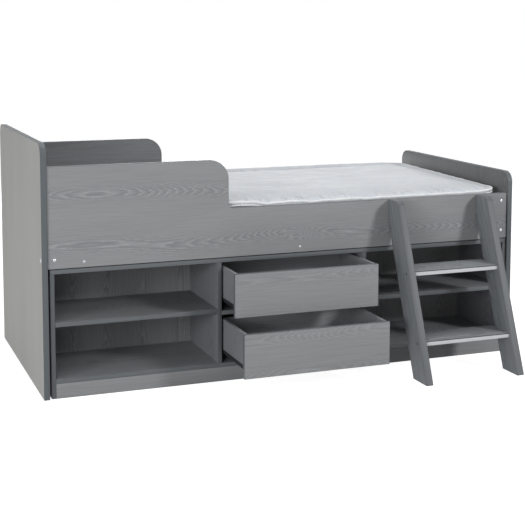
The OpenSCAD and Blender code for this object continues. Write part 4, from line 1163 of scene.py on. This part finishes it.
    def _inflate(self, piece: bpy.types.Object) -> None:
        """Fills the cover by a cloth simulation under inner pressure, with gravity off.

        Each point then keeps its way, but goes no further than swell.

        Args:
            piece: The mattress's body.
        """
        remesh = piece.modifiers.new("remesh", "REMESH")
        remesh.mode, remesh.voxel_size = "VOXEL", self.voxel
        self._apply(piece, remesh)
        count = len(piece.data.vertices)
        before, after = np.empty(count * 3), np.empty(count * 3)
        piece.data.vertices.foreach_get("co", before)
        cloth = piece.modifiers.new("filling", "CLOTH")
        settings = cloth.settings
        settings.use_pressure, settings.uniform_pressure_force = True, self.pressure
        settings.tension_stiffness = settings.compression_stiffness = self.stretch_stiffness
        settings.bending_stiffness = self.bending_stiffness
        settings.quality = self.cloth_quality
        settings.effector_weights.gravity = 0.0
        cloth.point_cache.frame_start, cloth.point_cache.frame_end = 1, self.last_frame
        scene = bpy.context.scene
        for frame_number in range(1, self.last_frame + 1):
            scene.frame_set(frame_number)
        self._apply(piece, cloth)
        scene.frame_set(1)
        piece.data.vertices.foreach_get("co", after)
        move = (after - before).reshape(-1, 3)
        length = np.linalg.norm(move, axis=1, keepdims=True)
        move *= np.minimum(1.0, self.swell / np.maximum(length, 1e-9))
        piece.data.vertices.foreach_set("co", (before.reshape(-1, 3) + move).ravel())
        piece.data.update()

    @staticmethod
    def _apply(piece: bpy.types.Object, modifier: bpy.types.Modifier) -> None:
        """Writes a modifier's result into the mesh and takes the modifier off.

        Args:
            piece: The piece, with that one modifier.
            modifier: The modifier.
        """
        graph = bpy.context.evaluated_depsgraph_get()
        graph.update()
        mesh = bpy.data.meshes.new_from_object(piece.evaluated_get(graph), depsgraph=graph)
        old = piece.data
        materials = list(old.materials)
        piece.modifiers.remove(modifier)
        piece.data = mesh
        mesh.materials.clear()
        for material in materials:
            mesh.materials.append(material)
        bpy.data.meshes.remove(old)

    def _tailor(self, piece: bpy.types.Object, low: np.ndarray, high: np.ndarray) -> None:
        """Draws the sagging rim, the gathers of the seam and the soft hollows of the top into the filled cover.

        The rim's sag dies out inwards by e per sag_reach. A gather is a wave along the edge, itself swelling and
        fading along it, that dies out by e per gather_reach. The hollows are the sum of slow waves that run in four
        directions, and come in over hollow_reach.

        Args:
            piece: The mattress's body.
            low: Lowest corner of the mattress.
            high: Highest corner of the mattress.
        """
        points = np.empty(len(piece.data.vertices) * 3)
        piece.data.vertices.foreach_get("co", points)
        points = points.reshape(-1, 3)
        x, y, z = points.T
        self._crease(points, low, high)
        side = np.minimum(y - low[1], high[1] - y)
        end = np.minimum(x - low[0], high[0] - x)
        edge = np.minimum(side, end)
        along = np.where(side < end, x, y)
        # 74 radians per metre make a gather every 85 mm, and 23 let them swell and fade every 137 mm
        wave = np.sin(along * 74 + 2.1 * np.sin(along * 9.7)) * np.sin(along * 23 + 0.7)
        # 0 below 50 mm from the top and 1 above 20 mm, so that the underside stays flat
        top = np.clip((z - (high[2] - 50 * MM)) / (30 * MM), 0, 1)
        z += top * np.exp(-edge / self.sag_reach) * self._rim(x, y, low, high)
        z += top * np.exp(-edge / self.gather_reach) * wave * self.gather
        # Waves 325 to 625 mm long
        slow = sum(np.sin(x * fx + y * fy + phase) for fx, fy, phase in
                   ((9.1, 4.3, 0.4), (-5.2, 11.7, 1.9), (14.6, -8.8, 3.3), (3.7, 19.0, 5.1)))
        z += top * np.clip(edge / self.hollow_reach, 0, 1) * slow * self.hollow
        points[:] = np.clip(points, low, high + [0, 0, self.headroom])
        piece.data.vertices.foreach_set("co", points.ravel())
        piece.data.polygons.foreach_set("use_smooth", np.ones(len(piece.data.polygons), bool))
        piece.data.update()

    def _crease(self, points: np.ndarray, low: np.ndarray, high: np.ndarray) -> None:
        """Sharpens the rims that the remesh and the filling left soft.

        The distance from the rounded outline is that of a rounded box in plan. A point that lies within the rim's
        radius of both the side and the top or underside is moved onto the quarter circle of that radius, along its
        own ray from the circle's centre. A ray shorter or longer than rim_catch times the radius is left alone.

        Args:
            points: The mattress's points, changed in place.
            low: Lowest corner of the mattress.
            high: Highest corner of the mattress.
        """
        middle, half = (low + high)[:2] / 2, (high - low)[:2] / 2
        reach = points[:, :2] - middle
        beyond = np.abs(reach) - (half - self.corner)
        outer = np.maximum(beyond, 0)
        length = np.linalg.norm(outer, axis=1)
        depth = self.corner - np.where(length > 0, length, np.max(beyond, axis=1))
        away = np.where(length[:, None] > 0, outer, np.eye(2)[np.argmax(beyond, axis=1)]) * np.sign(reach)
        away /= np.maximum(np.linalg.norm(away, axis=1, keepdims=True), 1e-9)
        shortest, longest = (share * self.rim for share in self.rim_catch)
        for level, way in ((high[2] - self.crown, 1.0), (low[2], -1.0)):
            a, b = self.rim - depth, self.rim - (level - points[:, 2]) * way
            ray = np.hypot(a, b)
            near = (a > 0) & (b > 0) & (ray > shortest) & (ray < longest)
            grow = np.where(near, self.rim / np.maximum(ray, 1e-9), 1.0)
            points[:, :2] += away * (a * (grow - 1))[:, None]
            points[:, 2] += way * b * (grow - 1)

    def _binding(self, low: np.ndarray, high: np.ndarray) -> Shape:
        """Makes the tape edge of the top: a cord, a narrow band of ticking below it and a second, thinner cord.

        The binding follows the rim, and rises and falls a little with the gathers: a wave along the edge that comes
        and goes. It begins inside the cover, so that no furrow shows between the two.

        Args:
            low: Lowest corner of the mattress.
            high: Highest corner of the mattress.

        Returns:
            The binding, cords in finish 0 and band in finish 1.
        """
        flat = self._edge(low, high, self.cord_inset, self.tape_points)
        turn = np.arange(self.tape_points) * 2 * math.pi / self.tape_points
        lean = np.sin(turn * 61 + 1.4 * np.sin(turn * 7)) * np.sin(turn * 13)
        height = high[2] - self.tape_drop + self._rim(flat[:, 0], flat[:, 1], low, high)
        path = np.column_stack([flat, height + 0.7 * MM * lean + 0.4 * MM * np.sin(turn * 23)])
        lower = self.cord * 0.8
        over, under = (np.radians(np.linspace(*span, 7)) for span in ((-55, 130), (-110, 55)))
        tuck = np.array(self.tape_tuck_mm) * MM
        outline = np.concatenate([
            np.column_stack([np.cos(under) * lower, np.sin(under) * lower - self.tape]),
            np.column_stack([np.cos(over) * self.cord, np.sin(over) * self.cord]),
            tuck, [[tuck[-1, 0], -self.tape]]])
        # Six edges of the lower cord, the band, six edges of the upper cord, and the four that lie in the cover
        finish = [0] * 6 + [1] + [0] * 6 + [1] * 4
        return swept(path, outline, finish)

    def _piping(self, low: np.ndarray, high: np.ndarray) -> Shape:
        """Makes the cord round the underside.

        Args:
            low: Lowest corner of the mattress.
            high: Highest corner of the mattress.

        Returns:
            The cord.
        """
        flat = self._edge(low, high, self.cord_inset, self.piping_points)
        turn = np.linspace(0, 2 * math.pi, 10, endpoint=False)
        return swept(np.column_stack([flat, np.full(self.piping_points, low[2] + self.piping_rise)]),
                     self.cord * np.column_stack([np.cos(turn), np.sin(turn)]))


@dataclass
class Fasteners:
    """What shows of the fastenings: bolt heads, barrel nuts, screw heads, caps, shelf pins and dowels.

    A profile holds the radius of each turned ring and how far it stands out of the face, from pole to pole. Heights
    count from a side panel's lower edge and lengths from its ends.
    """

    finishes: Finishes
    bolt_mm: tuple[tuple[float, float], ...] = ((2.0, 0.5), (2.3, 2.156), (4.125, 2.2), (6.375, 1.76), (7.5, 0.77),
                                                (7.5, 0.0), (3.0, -0.2), (3.0, -54.0))
    nut_mm: tuple[tuple[float, float], ...] = ((0.6, -0.45), (1.1, 0.35), (4.5, 0.35), (5.0, 0.05), (5.0, -12.0),
                                               (0.6, -12.2))
    screw_mm: tuple[tuple[float, float], ...] = ((0.8, -1.25), (1.3, 0.35), (3.4, 0.35), (4.0, 0.05), (2.2, -3.0),
                                                 (2.2, -30.0), (0.4, -33.0))
    cap_mm: tuple[tuple[float, float], ...] = ((0.5, 1.3), (3.0, 1.1), (5.0, 0.5), (5.2, -0.5), (2.2, -1.0),
                                               (2.2, -50.0), (0.4, -54.0))
    bolt_heights: tuple[float, float] = (34 * MM, 157 * MM)
    nut_reach: float = 25.6 * MM
    screw_height: float = 22 * MM
    screw_reaches: tuple[float, float] = (134 * MM, 76 * MM)
    cap_depth: float = 12 * MM

    def build(self) -> None:
        """Makes the heads that show and dresses the rest."""
        self._bolt_heads()
        self._panel_dots()
        self._tread_caps()
        # The screws and shelf pins inside the cabinet take the steel darkened as painted shade
        for node, key in (("ladder_bolts", "zinc"), ("cabinet_screws", "pin"), ("shelf_pins", "pin"),
                          ("wooden_dowels", "beech")):
            repaint(node, self.finishes.made[key])

    def _turn(self, name: str, node: str, profile_mm: Sequence[tuple[float, float]], places: Sequence[Place],
              key: str) -> None:
        """Turns one profile at several places and makes them one piece.

        Args:
            name: Name of the piece.
            node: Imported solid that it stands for.
            profile_mm: Profile of the head.
            places: Where the heads are.
            key: Key of the finish.
        """
        profile = np.array(profile_mm) * MM
        heads = [turned_part(profile, start, axis, way) for start, axis, way in places]
        make_piece(name, Shape.joined(heads), self.finishes.pick(key), "bed", [node])

    def _bolt_heads(self) -> None:
        """Makes the bed bolts' low domed heads, each with a socket, on the end panels' outer faces."""
        head_face, foot_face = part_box("headboard")[0].x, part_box("footboard")[1].x
        places = []
        for node in ("front_side_panel", "rear_side_panel"):
            low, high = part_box(node)
            y = (low.y + high.y) / 2
            places.append(((head_face, y, low.z + self.bolt_heights[0]), 0, -1.0))
            places.extend(((foot_face, y, low.z + height), 0, 1.0) for height in self.bolt_heights)
        self._turn("bed_bolt_heads", "bed_bolts", self.bolt_mm, places, "zinc")

    def _panel_dots(self) -> None:
        """Makes the barrel nuts and screw heads that show on the side panels' outer faces."""
        nuts, screws = [], []
        for node, face, way in (("front_side_panel", 0, -1.0), ("rear_side_panel", 1, 1.0)):
            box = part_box(node)
            low, high, y = box[0], box[1], box[face].y
            head, foot = low.x + self.nut_reach, high.x - self.nut_reach
            lower, upper = (low.z + height for height in self.bolt_heights)
            nuts.extend(((x, y, z), 1, way) for x, z in ((head, lower), (foot, lower), (foot, upper)))
            first, last = low.x + self.screw_reaches[0], high.x - self.screw_reaches[1]
            screws.extend(((x, y, low.z + self.screw_height), 1, way) for x in (first, (first + last) / 2, last))
        self._turn("barrel_nut_faces", "barrel_nuts", self.nut_mm, nuts, "zinc")
        self._turn("rail_screw_heads", "base_screws", self.screw_mm, screws, "zinc")

    def _tread_caps(self) -> None:
        """Makes the dark caps on the stiles' outer faces, one at each end of each tread."""
        left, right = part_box("ladder_left_stile")[0].x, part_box("ladder_right_stile")[1].x
        places = []
        for node in ("upper_tread", "lower_tread"):
            low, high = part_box(node)
            y, z = low.y + self.cap_depth, (low.z + high.z) / 2
            places.extend((((left, y, z), 0, -1.0), ((right, y, z), 0, 1.0)))
        self._turn("tread_screw_caps", "tread_screws", self.cap_mm, places, "cap")


# Studio

@dataclass(frozen=True)
class SoftLamp:
    """One rectangular studio lamp, aimed at a point."""

    name: str
    place: tuple[float, float, float]
    aim: tuple[float, float, float]
    size: tuple[float, float]
    power: float

    def build(self) -> None:
        """Puts the lamp into the scene."""
        light = bpy.data.lights.new(self.name, "AREA")
        light.shape, light.size, light.size_y = "RECTANGLE", *self.size
        light.energy = self.power
        lamp = bpy.data.objects.new(self.name, light)
        lamp.location = self.place
        lamp.rotation_euler = (Vector(self.aim) - Vector(self.place)).to_track_quat("-Z", "Y").to_euler()
        bpy.context.scene.collection.objects.link(lamp)


@dataclass
class Studio:
    """White floor, white surroundings, soft lamps and the camera.

    Where the floor is seen, it glows nearly white and its paint adds the lamps' light and the bed's shadow. Where it
    only sends light back to the bed, it is a duller grey. The place, yaw and pitch are the camera's.
    """

    ambient: float = 0.17
    white: str = "#ffffff"
    floor_glow: float = 0.925
    floor_paint: str = "#bcbcbc"
    floor_dull: str = "#a2a2a2"
    floor_reach: float = 60.0
    floor_drop: float = 0.4 * MM
    sensor: float = 36.0
    lens: float = 82.857
    place: tuple[float, float, float] = (-1.74229, -4.61496, 1.36650)
    yaw: float = 20.502
    pitch: float = 5.776
    shift: tuple[float, float] = (0.0021, -0.22)
    lamps: tuple[SoftLamp, ...] = (
        SoftLamp("right", (3.3, -4.3, 2.6), (0.2, -0.2, 0.4), (0.8, 0.8), 125.0),
        SoftLamp("left", (-8.4, -5.4, 1.9), (-0.3, 0.1, 0.4), (3.2, 2.4), 322.0),
        SoftLamp("near left", (-1.9, -2.6, 1.0), (-0.6, 0.1, 0.25), (0.8, 0.9), 13.5),
        SoftLamp("top", (0.2, 0.2, 4.6), (0.0, 0.0, 0.5), (3.0, 2.0), 77.0),
        SoftLamp("back", (1.6, 5.4, 0.8), (0.0, 0.3, 0.45), (2.6, 1.2), 190.0),
    )

    def build(self) -> None:
        """Makes the floor, the surroundings, the lamps and the camera."""
        self._floor()
        self._surroundings()
        for lamp in self.lamps:
            lamp.build()
        self._camera()
        bpy.context.scene.view_settings.view_transform = "Standard"

    @staticmethod
    def _seen(tree: bpy.types.NodeTree) -> bpy.types.NodeSocket:
        """Tells the rays that a viewer follows, from the camera, by a mirror or through glass, from the others.

        Args:
            tree: Tree of the floor's material or of the world.

        Returns:
            1 on the rays that a viewer follows and 0 on the others.
        """
        path = add_node(tree, "LightPath")
        first = add_node(tree, "Math", {0: path.outputs["Is Camera Ray"], 1: path.outputs["Is Glossy Ray"]},
                         operation="MAXIMUM")
        both = add_node(tree, "Math", {0: first.outputs[0], 1: path.outputs["Is Transmission Ray"]},
                        operation="MAXIMUM")
        return both.outputs[0]

    def _floor(self) -> None:
        """Makes the floor."""
        material, tree = new_material("studio floor")
        paint = add_node(tree, "BsdfDiffuse", {"Color": linear(self.floor_paint)})
        dull = add_node(tree, "BsdfDiffuse", {"Color": linear(self.floor_dull)})
        glow = add_node(tree, "Emission", {"Color": linear(self.white), "Strength": self.floor_glow})
        shown = add_node(tree, "AddShader", {0: glow.outputs[0], 1: paint.outputs[0]})
        mixed = add_node(tree, "MixShader", {0: self._seen(tree), 1: dull.outputs[0], 2: shown.outputs[0]})
        add_node(tree, "OutputMaterial", {0: mixed.outputs[0]})
        mesh = bpy.data.meshes.new("studio_floor")
        corners = [(x * self.floor_reach, y * self.floor_reach, -self.floor_drop)
                   for x, y in ((-1, -1), (1, -1), (1, 1), (-1, 1))]
        mesh.from_pydata(corners, [], [(0, 1, 2, 3)])
        mesh.materials.append(material)
        floor = bpy.data.objects.new("studio_floor", mesh)
        bpy.context.scene.collection.objects.link(floor)

    def _surroundings(self) -> None:
        """Makes the world: white where it is seen, dimmer where it only lights."""
        world = bpy.data.worlds.new("studio")
        world.use_nodes = True
        tree = world.node_tree
        tree.nodes.clear()
        fill = add_node(tree, "Background", {"Color": linear(self.white), "Strength": self.ambient})
        shown = add_node(tree, "Background", {"Color": linear(self.white), "Strength": 1.0})
        mixed = add_node(tree, "MixShader", {0: self._seen(tree), 1: fill.outputs[0], 2: shown.outputs[0]})
        add_node(tree, "OutputWorld", {0: mixed.outputs[0]})
        bpy.context.scene.world = world

    def _camera(self) -> None:
        """Makes the camera at the photograph's place, turned a little down, with a shift for the rest."""
        data = bpy.data.cameras.new("camera")
        data.sensor_width, data.lens = self.sensor, self.lens
        data.shift_x, data.shift_y = self.shift
        camera = bpy.data.objects.new("camera", data)
        camera.location = self.place
        camera.rotation_euler = Euler((math.radians(90 - self.pitch), 0.0, math.radians(-self.yaw)))
        bpy.context.scene.collection.objects.link(camera)
        bpy.context.scene.camera = camera


def main() -> None:
    """Builds the studio and every sub-assembly in order."""
    logging.basicConfig(level=logging.INFO, format="%(name)s %(message)s")
    Studio().build()
    finishes = Finishes()
    for part in (EndPanels(finishes), SidePanels(finishes), SlattedBase(finishes), Cabinet(finishes),
                 Drawer(finishes, Level.UPPER), Drawer(finishes, Level.LOWER), Ladder(finishes),
                 Mattress(finishes), Fasteners(finishes)):
        part.build()
    bpy.context.view_layer.update()


if __name__ == "__main__":
    main()
